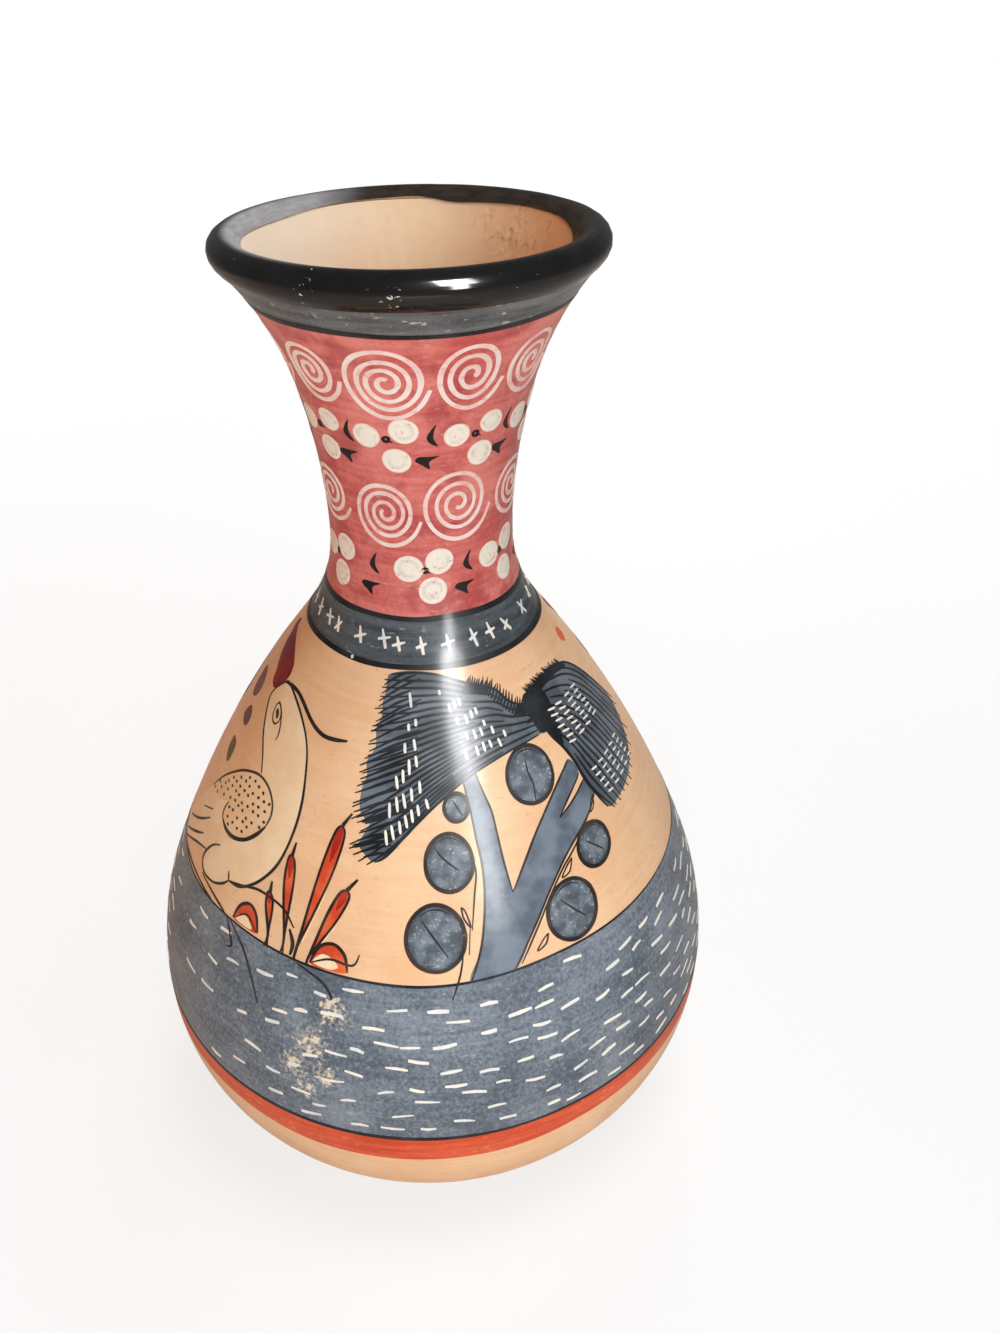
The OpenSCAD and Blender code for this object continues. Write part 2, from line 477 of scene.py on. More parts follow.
def slab(outline, top, bottom, step=SHAPE_STEP):
    """A flat closed plate of that outline: points, faces, and each point's distance in from the edge."""
    low, high = outline.min(0), outline.max(0)
    grid = np.stack(np.meshgrid(np.arange(low[0], high[0], step), np.arange(low[1], high[1], step)), -1)
    grid = grid.reshape(-1, 2)
    grid = grid[inside(grid, outline)]
    if len(grid):
        grid = grid[edge_distance(grid, outline) > EDGE_SHARE * step]
    flat = [Vector(p) for p in np.concatenate([outline, grid])]
    cut, _, faces, *_ = delaunay_2d_cdt(flat, [], [list(range(len(outline)))], 1, CUT_SLACK)
    cut = np.array(cut)
    count = len(cut)
    inset = edge_distance(cut, outline)
    sides = {(a, b) for f in faces for a, b in zip(f, f[1:] + f[:1])}
    rim = [(a, b) for a, b in sides if (b, a) not in sides]
    points = np.concatenate([np.c_[cut, np.full(count, top)], np.c_[cut, np.full(count, bottom)]])
    plates = [list(f) for f in faces] + [[v + count for v in reversed(f)] for f in faces]
    walls = [[b, a, a + count, b + count] for a, b in sorted(rim)]
    return points, plates + walls, np.concatenate([inset, inset])


def flat_mesh(name, slabs):
    """One flat mesh of several plates, with the distance in from the edge kept as an attribute."""
    points, faces, insets = [], [], []
    count = 0
    for slab_points, slab_faces, slab_inset in slabs:
        points.append(slab_points)
        faces += [[v + count for v in f] for f in slab_faces]
        insets.append(slab_inset)
        count += len(slab_points)
    mesh = bpy.data.meshes.new(name)
    mesh.from_pydata(np.concatenate(points).tolist(), [], faces)
    mesh.attributes.new("inset", "FLOAT", "POINT").data.foreach_set("value", np.concatenate(insets))
    return mesh


def paint_shapes(name, shapes, paint, lift=FILL_LIFT):
    """Filled brushwork inside smooth closed outlines."""
    radius = mean_radius(shapes)
    top, bottom = slip_depth + lift, slip_depth - PAINT_SINK
    slabs = [slab(sheet_points(flowing(shape, closed=True), radius), top, bottom) for shape in shapes]
    piece = settled(name, flat_mesh(name, slabs), lay_on_wall, sheet_radius=radius, paint=paint)
    return finished(piece)


def stroke(points, width, start=0.5, stop=0.5):
    """One brush line: its points with the width in millimetres at each, thinner at both ends."""
    points = np.asarray(points, float)
    widths = np.full(len(points), float(width)) * hand.uniform(*LINE_SWELL, len(points))
    widths[0] = width * start
    widths[-1] = width * stop
    return np.column_stack([points, widths])


def paint_lines(name, strokes, paint, lift=LINE_LIFT, parts=CURVE_PARTS):
    """Brush lines along smooth paths."""
    radius = mean_radius(strokes)
    points, edges, widths = [], [], []
    for line in strokes:
        path = flowing(line, parts=parts)
        first = sum(map(len, points))
        points.append(np.c_[sheet_points(path, radius), np.full(len(path), slip_depth + lift)])
        widths.append(np.maximum(path[:, 2], FINEST_LINE) * MM)
        edges += [(first + i, first + i + 1) for i in range(len(path) - 1)]
    mesh = bpy.data.meshes.new(name)
    mesh.from_pydata(np.concatenate(points).tolist(), edges, [])
    mesh.attributes.new("width", "FLOAT", "POINT").data.foreach_set("value", np.concatenate(widths))
    return finished(settled(name, mesh, brush_lines, sheet_radius=radius, paint=paint))


def dab_object(sides, step, blunt):
    """A flat dab one metre across, rounder or blunter, as the pattern for all dabs of a kind."""
    turn = np.linspace(0, 2 * math.pi, sides, endpoint=False)
    power = 2 / blunt
    outline = 0.5 * np.column_stack([
        np.sign(np.cos(turn)) * np.abs(np.cos(turn)) ** power,
        np.sign(np.sin(turn)) * np.abs(np.sin(turn)) ** power,
    ])
    return helper_object("dab", flat_mesh("dab", [slab(outline, 0, -1, step)]))


def paint_dabs(name, dabs, paint, lift=LIGHT_LIFT, sides=12, step=0.9, blunt=3):
    """Brush dabs, each (degrees, height, length, width, turn in degrees), in millimetres."""
    dabs = np.asarray(dabs, float)
    radius = mean_radius([dabs])
    flat = sheet_points(dabs, radius)
    mesh = bpy.data.meshes.new(name)
    mesh.from_pydata(np.c_[flat, np.full(len(flat), slip_depth + lift)].tolist(), [], [])
    squeeze = radius / radius_at(dabs[:, 1] * MM)
    level = np.abs(np.cos(np.radians(dabs[:, 4])))
    lengths = dabs[:, 2] * MM * (1 + (squeeze - 1) * level)
    widths = dabs[:, 3] * MM * (squeeze + (1 - squeeze) * level)
    sizes = np.column_stack([lengths, widths, np.full(len(dabs), PAINT_SINK + lift)])
    turns = np.column_stack([np.zeros((len(dabs), 2)), np.radians(dabs[:, 4])])
    for label, values in (("size", sizes), ("turn", turns)):
        mesh.attributes.new(label, "FLOAT_VECTOR", "POINT").data.foreach_set("vector", values.ravel())
    pattern = dab_object(sides, step, blunt)
    piece = settled(name, mesh, brush_dabs, dab=pattern, sheet_radius=radius, paint=paint)
    bpy.data.objects.remove(pattern)
    return finished(piece)


# Clay members and slip coats

def edge_line(points, soft_steps=7):
    """Heights, by degrees, of a hand-drawn edge through (degrees, height) points all round."""
    degrees, heights = np.asarray(points, float).T
    fine = np.arange(-180, 180, EDGE_STEP)
    drawn = np.interp(fine, degrees, heights, period=360)
    padded = np.concatenate([drawn[-soft_steps:], drawn, drawn[:soft_steps]])
    soft = np.convolve(padded, bell(soft_steps), mode="valid")
    return lambda at: np.interp(at, fine, soft, period=360)


def level_edge(height, wave=0.25):
    """A hand-drawn edge at one height that wanders a little."""
    degrees = np.arange(WANDER_START, WANDER_START + 360, WANDER_STEP)
    return edge_line(np.column_stack([degrees, height / MM + wave * hand.uniform(-1, 1, len(degrees))]))


def strip(lower, upper, top, bottom):
    """A flat closed strip right round the pot between two edges: points, faces, distance in from the edge."""
    degrees = np.linspace(-180, 180, TURN_COLUMNS + 1)
    low, high = lower(degrees), upper(degrees)
    rows = max(2, math.ceil((high - low).max() / COAT_ROW) + 1)
    run = low + (high - low) * np.linspace(0, 1, rows)[:, None]
    across = np.broadcast_to(np.radians(degrees), run.shape)
    points = np.concatenate([np.stack([across, run, np.full(run.shape, lift)], -1) for lift in (top, bottom)])
    columns = TURN_COLUMNS + 1
    count = rows * columns
    last = count - columns
    cells = [[r * columns + c, r * columns + c + 1, (r + 1) * columns + c + 1, (r + 1) * columns + c]
             for r in range(rows - 1) for c in range(columns - 1)]
    faces = cells + [[v + count for v in reversed(cell)] for cell in cells]
    faces += [[c + 1, c, c + count, c + 1 + count] for c in range(columns - 1)]
    faces += [[last + c, last + c + 1, last + c + 1 + count, last + c + count] for c in range(columns - 1)]
    inset = np.minimum(run - low, high - run).ravel()
    return points.reshape(-1, 3), faces, np.concatenate([inset, inset])


def paint_coat(node, lower, upper, paint):
    """A slip coat between two edges, given as functions from degrees to a run in metres."""
    flat = flat_mesh(node, [strip(lower, upper, slip_depth, slip_depth - PAINT_SINK)])
    return finished(settled(node + "_coat", flat, lay_on_wall, sheet_radius=1.0, paint=paint), node)


def skin_between(start, stop):
    """Points of the skin from one run to another."""
    between = (skin_run > start) & (skin_run < stop)
    runs = np.concatenate([[start], skin_run[between], [stop]])
    return np.column_stack([np.interp(runs, skin_run, column) for column in skin.T])


def member_section(node):
    """Closed section of a clay member: its stretches of the clay's skin, outside and then inside."""
    points = node_edges[node].reshape(-1, 2)
    gaps = np.linalg.norm(points[:, None] - skin, axis=2)
    runs = skin_run[gaps.argmin(1)][gaps.min(1) < FACE_REACH]
    outer, inner = runs[runs < top_run], runs[runs >= top_run]
    stretches = ((outer.min(), outer.max()), (inner.min(), inner.max()))
    if node == CLAY_NODES[-1]:
        stretches = ((outer.min(), inner.max()),)
    return np.concatenate([even_steps(skin_between(*stretch), CLAY_ROW) for stretch in stretches])


def turned(node, section, paint):
    """A solid of revolution on the pot's axis from a closed section."""
    angles = np.linspace(0, 2 * math.pi, TURN_COLUMNS, endpoint=False)
    rings = np.stack([
        section[:, None, 0] * np.sin(angles),
        -section[:, None, 0] * np.cos(angles),
        np.broadcast_to(section[:, None, 1], (len(section), TURN_COLUMNS)),
    ], -1)
    count = len(section)
    faces = []
    for ring in range(count):
        above = (ring + 1) % count
        for column in range(TURN_COLUMNS):
            beside = (column + 1) % TURN_COLUMNS
            corners = ((ring, column), (ring, beside), (above, beside), (above, column))
            faces.append([r * TURN_COLUMNS + c for r, c in corners])
    work = bmesh.new()
    made = [work.verts.new(p) for p in rings.reshape(-1, 3)]
    for face in faces:
        work.faces.new([made[v] for v in face])
    bmesh.ops.remove_doubles(work, verts=work.verts, dist=CLAY_WELD)
    bmesh.ops.dissolve_degenerate(work, edges=work.edges, dist=SLIVER)
    for edge in [e for e in work.edges if not e.link_faces]:
        work.edges.remove(edge)
    bmesh.ops.recalc_face_normals(work, faces=work.faces)
    mesh = bpy.data.meshes.new(node)
    work.to_mesh(mesh)
    work.free()
    mesh.materials.append(paint)
    return finished(helper_object(node + "_clay", mesh), node)


# Finishes

def display(red, green, blue):
    """An 8-bit display colour as a linear one."""
    shares = (c / 255 for c in (red, green, blue))
    return tuple(c / 12.92 if c < 0.04 else ((c + 0.055) / 1.055) ** 2.4 for c in shares) + (1.0,)


# Slips and paints, full and thin
BUFF = display(240, 190, 146)
PALE_BUFF = display(250, 208, 166)
RED = display(196, 82, 79)
PALE_RED = display(237, 140, 131)
GREY = display(82, 92, 104)
PALE_GREY = display(138, 149, 161)
BLACK = display(13, 12, 12)
SOFT_BLACK = display(25, 23, 24)
CREAM = display(252, 244, 230)
PINK_CREAM = display(255, 238, 231)
ORANGE = display(212, 74, 40)
PALE_ORANGE = display(236, 112, 66)
# The lip's black where it is rubbed, where it is thin under a painted reflection, and where it is scratched,
# and the pale ground under chips and flakes
RUBBED_BLACK = display(78, 70, 62)
REFLECTED_THIN_BLACK = display(190, 190, 192)
SCRATCHED_BLACK = display(120, 118, 116)
CHIPPED = display(222, 216, 206)
FLAKED = display(232, 216, 192)
# Raw clay from its deeper to its pale tone, its palest tone as painted light, its orange as painted shade,
# and its pits
SANDY = display(246, 206, 164)
PALE_SANDY = display(254, 226, 192)
LIT_SANDY = display(255, 241, 222)
SHADED_CLAY = display(198, 122, 68)
PITTED = display(200, 138, 90)

# Index of refraction of the burnished surface
COAT_INDEX = 1.8
# Distance right of the axis over which the clay goes over to its orange painted shade
SHADE_START, SHADE_FULL = -4 * MM, 30 * MM
# Distances left of the axis over which the clay goes over to its palest tone as painted light, and the inner
# lip's black gets thin under a painted reflection
LIT_START, LIT_FULL = 4 * MM, 26 * MM
REFLECTION_START, REFLECTION_FULL = 10 * MM, 24 * MM
# Radii between which the lip turns over into its duller inner face
INNER_LIP, OUTER_LIP = 33 * MM, 35 * MM
# Share of a worn spot's reach within which it is fully worn
SPOT_CORE = 0.1
# Spots, each (degrees, height, reach) with lengths in millimetres: clay that a tool dragged up inside the
# mouth, chips in the lip and flakes off the ground
TOOL_MARKS = ((124, 209, 11), (138, 209, 12), (150, 210, 9))
LIP_CHIPS = ((-24, 215.4, 4.8), (-1, 215.2, 4.6), (3.5, 215.2, 4.2), (22, 216, 3.8), (31, 216, 3.8))
GROUND_FLAKES = ((-16.7, 72, 6), (-20.9, 63.8, 7.5), (-24.1, 57.8, 6.5), (-17.7, 57.1, 6), (-21.1, 52.4, 5))


class Finish(Tree):
    """The nodes of one clay or slip finish."""

    def __init__(self, name):
        self.material = bpy.data.materials.new(name)
        self.material.use_nodes = True
        super().__init__(self.material.node_tree)
        self.shader = self.tree.nodes["Principled BSDF"]
        self.place = self.node("ShaderNodeTexCoord")["Object"]

    def noise(self, size, stretch=(1, 1, 1), detail=3, shift=0.0):
        """A cloudy pattern of patches about that many millimetres across, stretched along each axis."""
        scale = tuple(1 / (size * s * MM) for s in stretch)
        moved = self.node("ShaderNodeMapping", None, {
            "Vector": self.place, "Location": (shift, shift, shift), "Scale": scale})["Vector"]
        return self.node("ShaderNodeTexNoise", None, {
            "Vector": moved, "Scale": 1.0, "Detail": detail, "Roughness": 0.55})["Fac"]

    def step(self, value, low, high):
        """0 below low, 1 above high and smooth between."""
        return self.node("ShaderNodeMapRange", {"interpolation_type": "SMOOTHSTEP"}, {
            "Value": value, "From Min": low, "From Max": high})["Result"]

    def blend(self, share, first, second):
        """A colour between two."""
        return self.node("ShaderNodeMix", {"data_type": "RGBA"}, {
            "Factor": share, "A": first, "B": second})["Result"]

    def near(self, spots):
        """1 in the middle of any spot and 0 outside all. Each is (degrees, height, reach), in millimetres."""
        closest = None
        for degrees, height, reach in spots:
            turn, radius = math.radians(degrees), radius_at(height * MM)
            centre = (radius * math.sin(turn), -radius * math.cos(turn), height * MM)
            away = self.node("ShaderNodeVectorMath", {"operation": "DISTANCE"}, {
                0: self.place, 1: centre})["Value"]
            share = 1 - self.step(away, SPOT_CORE * reach * MM, reach * MM)
            closest = closest.maths("MAXIMUM", closest, share) if closest else share
        return closest

    def attribute(self, name):
        """A value that the piece's own mesh keeps."""
        return self.node("ShaderNodeAttribute", {"attribute_name": name})["Fac"]

    def shade(self, colour, roughness, relief, relief_depth, coat, coat_roughness=0.18, sheen=0.13):
        """Sets the shader and returns the material."""
        bump = self.node("ShaderNodeBump", None, {
            "Height": relief, "Strength": 1.0, "Distance": relief_depth * MM})["Normal"]
        settings = (
            ("Base Color", colour), ("Roughness", roughness), ("Normal", bump), ("Coat Weight", coat),
            ("Coat Roughness", coat_roughness), ("Coat IOR", COAT_INDEX), ("Specular IOR Level", sheen))
        for name, value in settings:
            if isinstance(value, Wire):
                self.tree.links.new(value.socket, self.shader.inputs[name])
            else:
                self.shader.inputs[name].default_value = value
        return self.material


def brushed_slip(name, deep, thin, under, wear=0.5, coat=0.2, streak=0.5, mottle=0.15, patch=None, flaked=()):
    """A burnished slip coat with streaks, clouds and specks, and with pale ground in the flaked spots."""
    finish = Finish(name)
    streaks = finish.noise(1.3, (14, 14, 1), detail=4)
    clouds = finish.noise(15, detail=5, shift=3.0)
    grain = finish.noise(0.8, detail=5, shift=7.0)
    tone = streaks * streak + clouds * (1 - streak - mottle) + grain * mottle
    colour = finish.blend(finish.step(tone, 0.36, 0.64), deep, thin)
    if patch:
        patches = finish.step(finish.noise(9, detail=3, shift=31.0), 0.5, 0.66)
        colour = finish.blend(patches * 0.6, colour, patch)
    scratches = finish.noise(1.2, (2.2, 2.2, 0.8), detail=6, shift=11.0)
    scuffs = finish.step(scratches + clouds * 0.25, 0.75, 0.83)
    specks = finish.step(finish.noise(0.5, detail=2, shift=17.0), 0.66, 0.74)
    bare = scuffs.maths("MAXIMUM", scuffs, specks * 0.6) * wear
    colour = finish.blend(bare, colour, under)
    if flaked:
        chips = finish.noise(1.7, detail=7, shift=21.0)
        worn = finish.near(flaked)
        flakes = finish.step(chips + worn * 0.26, 0.72, 0.79)
        dust = finish.step(grain + worn * 0.25, 0.62, 0.85) * 0.45
        bare = flakes.maths("MAXIMUM", flakes, dust)
        colour = finish.blend(bare, colour, FLAKED)
    roughness = 0.38 + clouds * 0.16 + bare * 0.25
    height = streaks * 0.5 + grain * 0.5 - bare * 0.9
    return finish.shade(colour, roughness, height, relief_depth=0.02, coat=coat)


def brush_paint(name, full, dry, under, cover=0.85, coat=0.18):
    """Paint of a brush mark: full in the middle, dry and patchy where the coat under it shows."""
    finish = Finish(name)
    drag = finish.noise(0.7, (3, 3, 1.4), detail=4, shift=2.0)
    clouds = finish.noise(7, detail=3, shift=5.0)
    colour = finish.blend(finish.step(clouds, 0.35, 0.65), full, dry)
    bare = finish.step(drag * 0.7 + clouds * 0.3, cover - 0.22, cover)
    colour = finish.blend(bare, colour, under)
    roughness = 0.42 + clouds * 0.2
    return finish.shade(colour, roughness, drag, relief_depth=0.01, coat=coat)


def petal_paint():
    """Thick cream dabs with a greyer ring where the brush was pressed, and specks of the red under them."""
    finish = Finish("petal_cream")
    clouds = finish.noise(3, detail=4, shift=5.0)
    inset = finish.attribute("inset") + (clouds - 0.5) * 0.16
    ring = finish.step(inset, 0.10, 0.18) * (1 - finish.step(inset, 0.22, 0.32))
    colour = finish.blend(ring * finish.step(clouds, 0.4, 0.6) * 0.5, CREAM, display(222, 206, 198))
    rubbed = finish.step(finish.noise(0.8, detail=5, shift=9.0) + clouds * 0.2, 0.70, 0.78)
    colour = finish.blend(rubbed * 0.7, colour, PALE_RED)
    edge = 1 - finish.step(inset, 0.0, 0.05)
    colour = finish.blend(edge * 0.5, colour, display(240, 190, 184))
    return finish.shade(colour, 0.45 + clouds * 0.15, clouds, relief_depth=0.02, coat=0.22)


def disc_paint():
    """Blue-grey discs: darker at the edge, mottled, with pale rubbed flecks in the middle."""
    finish = Finish("disc_grey")
    clouds = finish.noise(3.2, detail=5, shift=5.0)
    inset = finish.attribute("inset") / MM + (clouds - 0.5) * 2
    colour = finish.blend(finish.step(clouds, 0.34, 0.66), display(78, 88, 99), display(124, 135, 146))
    colour = finish.blend((1 - finish.step(inset, 0.2, 1.6)) * 0.7, colour, display(52, 58, 66))
    flecks = finish.step(finish.noise(0.7, detail=5, shift=9.0) + clouds * 0.3, 0.74, 0.82)
    colour = finish.blend(flecks * 0.6, colour, display(196, 200, 200))
    return finish.shade(colour, 0.42 + clouds * 0.15, clouds, relief_depth=0.015, coat=0.24)


def black_gloss():
    """Glossy black of the lip: hair scratches, chips that show the pale ground, and a duller inner face, thin
    and with a painted reflection at its left.
    """
    finish = Finish("black_gloss")
    clouds = finish.noise(9, detail=4)
    hairs = finish.step(finish.noise(0.35, (9, 9, 2), detail=3, shift=4.0), 0.68, 0.76)
    nicks = finish.noise(0.8, (1.8, 1.8, 0.8), detail=5, shift=15.0)
    chips = finish.step(nicks + finish.near(LIP_CHIPS) * 0.42, 0.80, 0.84)
    drag = finish.noise(0.8, (5, 5, 1), detail=4, shift=12.0)
    place = finish.node("ShaderNodeSeparateXYZ", None, {0: finish.place})
    reach = place["X"].maths("SQRT", place["X"] * place["X"] + place["Y"] * place["Y"])
    inner = 1 - finish.step(reach, INNER_LIP, OUTER_LIP)
    # Thin black with a painted reflection: the inner face goes pale grey towards the left side
    thin = inner * finish.step(0 - place["X"], REFLECTION_START, REFLECTION_FULL)
    colour = finish.blend(finish.step(clouds, 0.35, 0.7), BLACK, SOFT_BLACK)
    colour = finish.blend(inner * drag, colour, RUBBED_BLACK)
    colour = finish.blend(thin * (0.35 + drag * 0.9), colour, REFLECTED_THIN_BLACK)
    colour = finish.blend(hairs * 0.3, colour, SCRATCHED_BLACK)
    colour = finish.blend(chips * 0.9, colour, CHIPPED)
    roughness = 0.30 + clouds * 0.12 + chips * 0.3
    height = finish.noise(5, (2.5, 2.5, 1), detail=3, shift=8.0) - chips * 0.3
    polish = 0.5 - inner * 0.44
    return finish.shade(
        colour, roughness, height, relief_depth=0.09, coat=polish, coat_roughness=0.11, sheen=0.02)


def raw_clay():
    """Bare fired clay: sandy and scraped, with painted light on its left side and orange painted shade on its
    right.
    """
    finish = Finish("raw_clay")
    clouds = finish.noise(22, detail=4)
    grit = finish.noise(0.9, detail=5, shift=4.0)
    wipes = finish.noise(2.4, (1, 1, 7), detail=3, shift=9.0)
    tone = finish.step(clouds * 0.7 + wipes * 0.3, 0.3, 0.7)
    colour = finish.blend(tone, SANDY, PALE_SANDY)
    side = finish.node("ShaderNodeSeparateXYZ", None, {0: finish.place})["X"]
    # Painted shade: the clay turns orange and darker towards the right side
    painted_shade = finish.step(side + (clouds - 0.5) * 0.02, SHADE_START, SHADE_FULL)
    colour = finish.blend(painted_shade * 0.75, colour, SHADED_CLAY)
    # Painted light: the clay turns paler towards the left side
    pale = finish.step(0 - side, LIT_START, LIT_FULL)
    colour = finish.blend(pale * 0.75, colour, LIT_SANDY)
    pits = finish.step(grit, 0.68, 0.76)
    colour = finish.blend(pits * 0.4, colour, PITTED)
    drags = finish.noise(2.8, (1, 1, 2), detail=2, shift=27.0)
    ridges = finish.step(drags, 0.4, 0.6) * finish.near(TOOL_MARKS)
    height = grit * 0.5 + wipes * 0.5 - pits * 0.8 + ridges * 6
    return finish.shade(colour, 0.72 + clouds * 0.15, height, relief_depth=0.07, coat=0.0)


clay = raw_clay()
buff_slip = brushed_slip("buff_slip", BUFF, PALE_BUFF, display(214, 150, 98), wear=0.3, streak=0.3)
red_slip = brushed_slip("red_slip", RED, PALE_RED, display(228, 164, 148), wear=0.6, streak=0.3,
                        patch=display(168, 58, 62))
ground_grey = brushed_slip("ground_grey", GREY, PALE_GREY, display(176, 176, 172), wear=0.6, streak=0.18,
                           mottle=0.4, flaked=GROUND_FLAKES)
collar_grey = brushed_slip("collar_grey", display(52, 58, 64), display(96, 103, 110), display(160, 154, 146),
                           wear=0.6)
band_grey = brushed_slip("band_grey", display(66, 69, 73), display(116, 119, 121), display(200, 192, 182),
                         wear=0.9)
orange_slip = brushed_slip("orange_slip", display(208, 68, 38), display(234, 102, 62), BUFF, wear=0.4)
black_slip = black_gloss()

petal_cream = petal_paint()
disc_grey = disc_paint()
spiral_cream = brush_paint("spiral_cream", PINK_CREAM, display(246, 212, 204), PALE_RED, 0.74)
cream_on_grey = brush_paint("cream_on_grey", CREAM, display(230, 232, 230), PALE_GREY, 0.82)
black_on_red = brush_paint("black_on_red", BLACK, SOFT_BLACK, RED, 0.88)
black_on_buff = brush_paint("black_on_buff", display(34, 28, 26), display(66, 54, 48), BUFF, 0.86)
black_on_grey = brush_paint("black_on_grey", display(22, 22, 24), display(46, 48, 52), GREY, 0.86)
strand_grey = brush_paint("strand_grey", display(19, 21, 25), display(40, 45, 50), GREY, 0.86)
trunk_grey = brush_paint("trunk_grey", display(86, 97, 111), display(122, 134, 148), GREY, 0.92)
crown_grey = brush_paint("crown_grey", display(80, 88, 97), display(114, 123, 132), PALE_GREY, 0.9)
breast_cream = brush_paint("breast_cream", display(255, 230, 194), display(251, 216, 172), BUFF, 0.92)
wing_buff = brush_paint("wing_buff", display(246, 206, 162), display(250, 216, 174), BUFF, 0.9)
orange_on_buff = brush_paint("orange_on_buff", ORANGE, PALE_ORANGE, display(180, 44, 30), 0.90)
reed_red = brush_paint("reed_red", display(168, 38, 30), display(196, 58, 36), ORANGE, 0.8)
plume_red = brush_paint("plume_red", display(112, 18, 20), display(152, 34, 36), display(180, 60, 48), 0.9)
mark_purple = brush_paint("mark_purple", display(104, 50, 66), display(130, 76, 70), BUFF, 0.92)
drop_olive = brush_paint("drop_olive", display(92, 76, 40), display(122, 98, 56), BUFF, 0.92)


# Clay

for member in CLAY_NODES:
    section = member_section(member)
    if member == CLAY_NODES[0]:
        section = np.concatenate([section, [(0, section[-1, 1]), (0, 0)]])
    turned(member, section, clay)


# Slip coats, from the foot to the lip

# How far above the neck's red the rim band begins
BAND_RAISE = 0.6 * MM


def height_run(edge):
    """A hand-drawn edge's run up the wall, by degrees."""
    return lambda degrees: run_at(edge(degrees) * MM)


def top_of(node):
    """Height of a CAD node's top."""
    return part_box(node)[1].z


foot_edge = height_run(level_edge(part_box("heel_slip")[0].z, 0.15))
stripe_low = height_run(edge_line([(-180, 35.2), (-120, 36), (-70, 37.4), (-38, 36.6), (-22, 34.6), (0, 34.5),
                                   (18, 35.1), (32, 37), (60, 37.6), (100, 36.2), (140, 35)]))
stripe_high = height_run(edge_line([(-180, 42.4), (-120, 42.8), (-60, 43), (-20, 42.2), (0, 42),
                                    (14, 42.2), (32, 43), (80, 42.8), (130, 42)]))
horizon = height_run(edge_line([(-180, 80.4), (-150, 80), (-110, 79), (-80, 78.6), (-62, 79.2), (-45, 80.8),
                                (-25, 80.4), (-8, 79.8), (2, 79.4), (14, 80), (30, 81), (60, 80.6),
                                (100, 79.2), (140, 80.2)]))
collar_low = height_run(level_edge(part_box("collar_slip")[0].z, 0.2))
collar_high = height_run(level_edge(top_of("collar_slip"), 0.2))
band_low = height_run(level_edge(top_of("neck_slip") + BAND_RAISE, 0.3))
lip_depth = edge_line([(-180, 3.2), (-165, 3.4), (-145, 3.6), (-121, 4.4), (-108, 4.3), (-88, 3.8), (-60, 4),
                       (0, 4.5), (60, 5), (90, 5.8), (99, 4.8), (110, 4), (120, 3.6), (134, 3.5), (150, 4),
                       (168, 4.6), (175, 3.8)], 4)


def band_high(degrees):
    """The run to the joint under the bead, where the rim band ends and the lip begins."""
    return np.full(len(degrees), bead_run)


def lip_inside(degrees):
    """The run over the rim to the lip's inner edge."""
    return top_run + lip_depth(degrees) * MM


paint_coat("heel_slip", foot_edge, stripe_low, buff_slip)
paint_coat("foot_stripe", stripe_low, stripe_high, orange_slip)
paint_coat("ground_slip", stripe_high, horizon, ground_grey)
paint_coat("body_slip", horizon, collar_low, buff_slip)
paint_coat("collar_slip", collar_low, collar_high, collar_grey)
paint_coat("neck_slip", collar_high, band_low, red_slip)
paint_coat("rim_band_slip", band_low, band_high, band_grey)
paint_coat("lip_slip", band_high, lip_inside, black_slip)


# Marks that several motifs share

# Degrees by which the back's copy of a motif is turned, and how much of its width it keeps
BACK_TURN = 183
BACK_SPREAD = 0.92


def oval(degrees, height, half_width, half_height, points=14):
    """A closed outline of that half width and half height, in millimetres."""
    turn = np.linspace(0, 2 * math.pi, points, endpoint=False)
    across = np.degrees(half_width * MM * np.cos(turn) / radius_at(height * MM))
    return np.column_stack([degrees + across, height + half_height * np.sin(turn)])


def loop(outline):
    """A closed outline as a path that comes back to its start."""
    outline = np.asarray(outline, float)
    return np.concatenate([outline, outline[:1]])


def twice(marks):
    """The marks at the front and, turned about half round and set a little closer, at the back."""
    copies = []
    for turn, spread in ((0, 1), (BACK_TURN, BACK_SPREAD)):
        for mark in marks:
            copy = np.array(mark, float)
            copy[..., 0] = turn + spread * copy[..., 0]
            copies.append(copy)
    return copies


def round_row(seen, count):
    """Angles of a row of that many marks: the front ones as they are, the rest evenly round the back."""
    return list(seen) + list(np.linspace(seen[-1], seen[0] + 360, count - len(seen) + 2)[1:-1])


def paint_bands(name, bands, paint, lift=LINE_LIFT):
    """Lines right round the pot, each between a lower and an upper edge."""
    strips = [strip(lower, upper, slip_depth + lift, slip_depth - PAINT_SINK) for lower, upper in bands]
    return finished(settled(name, flat_mesh(name, strips), lay_on_wall, sheet_radius=1.0, paint=paint))


def beside(edge, low, high):
    """A band's two edges, that many millimetres up the wall from a hand-drawn edge."""
    sway = level_edge(0, 0.12)
    return (lambda degrees: edge(degrees) + (low + sway(degrees)) * MM,
            lambda degrees: edge(degrees) + (high - sway(degrees)) * MM)


# Lines round the rim, collar and ground

paint_bands("rim_line", [beside(band_low, -0.1, 1.0)], black_on_grey)
collar_lines = [beside(collar_high, -1.0, 0.25), beside(collar_low, -0.3, 1.0)]
paint_bands("collar_lines", collar_lines, black_on_grey)
ground_lines = [beside(stripe_high, -0.1, 0.75), beside(horizon, -0.22, 0.22)]
paint_bands("ground_lines", ground_lines, black_on_grey)


# Neck painting

# Points in each turn of a spiral, and the direction in degrees of its tail
SPIRAL_POINTS = 15
TAIL_TURN = -16


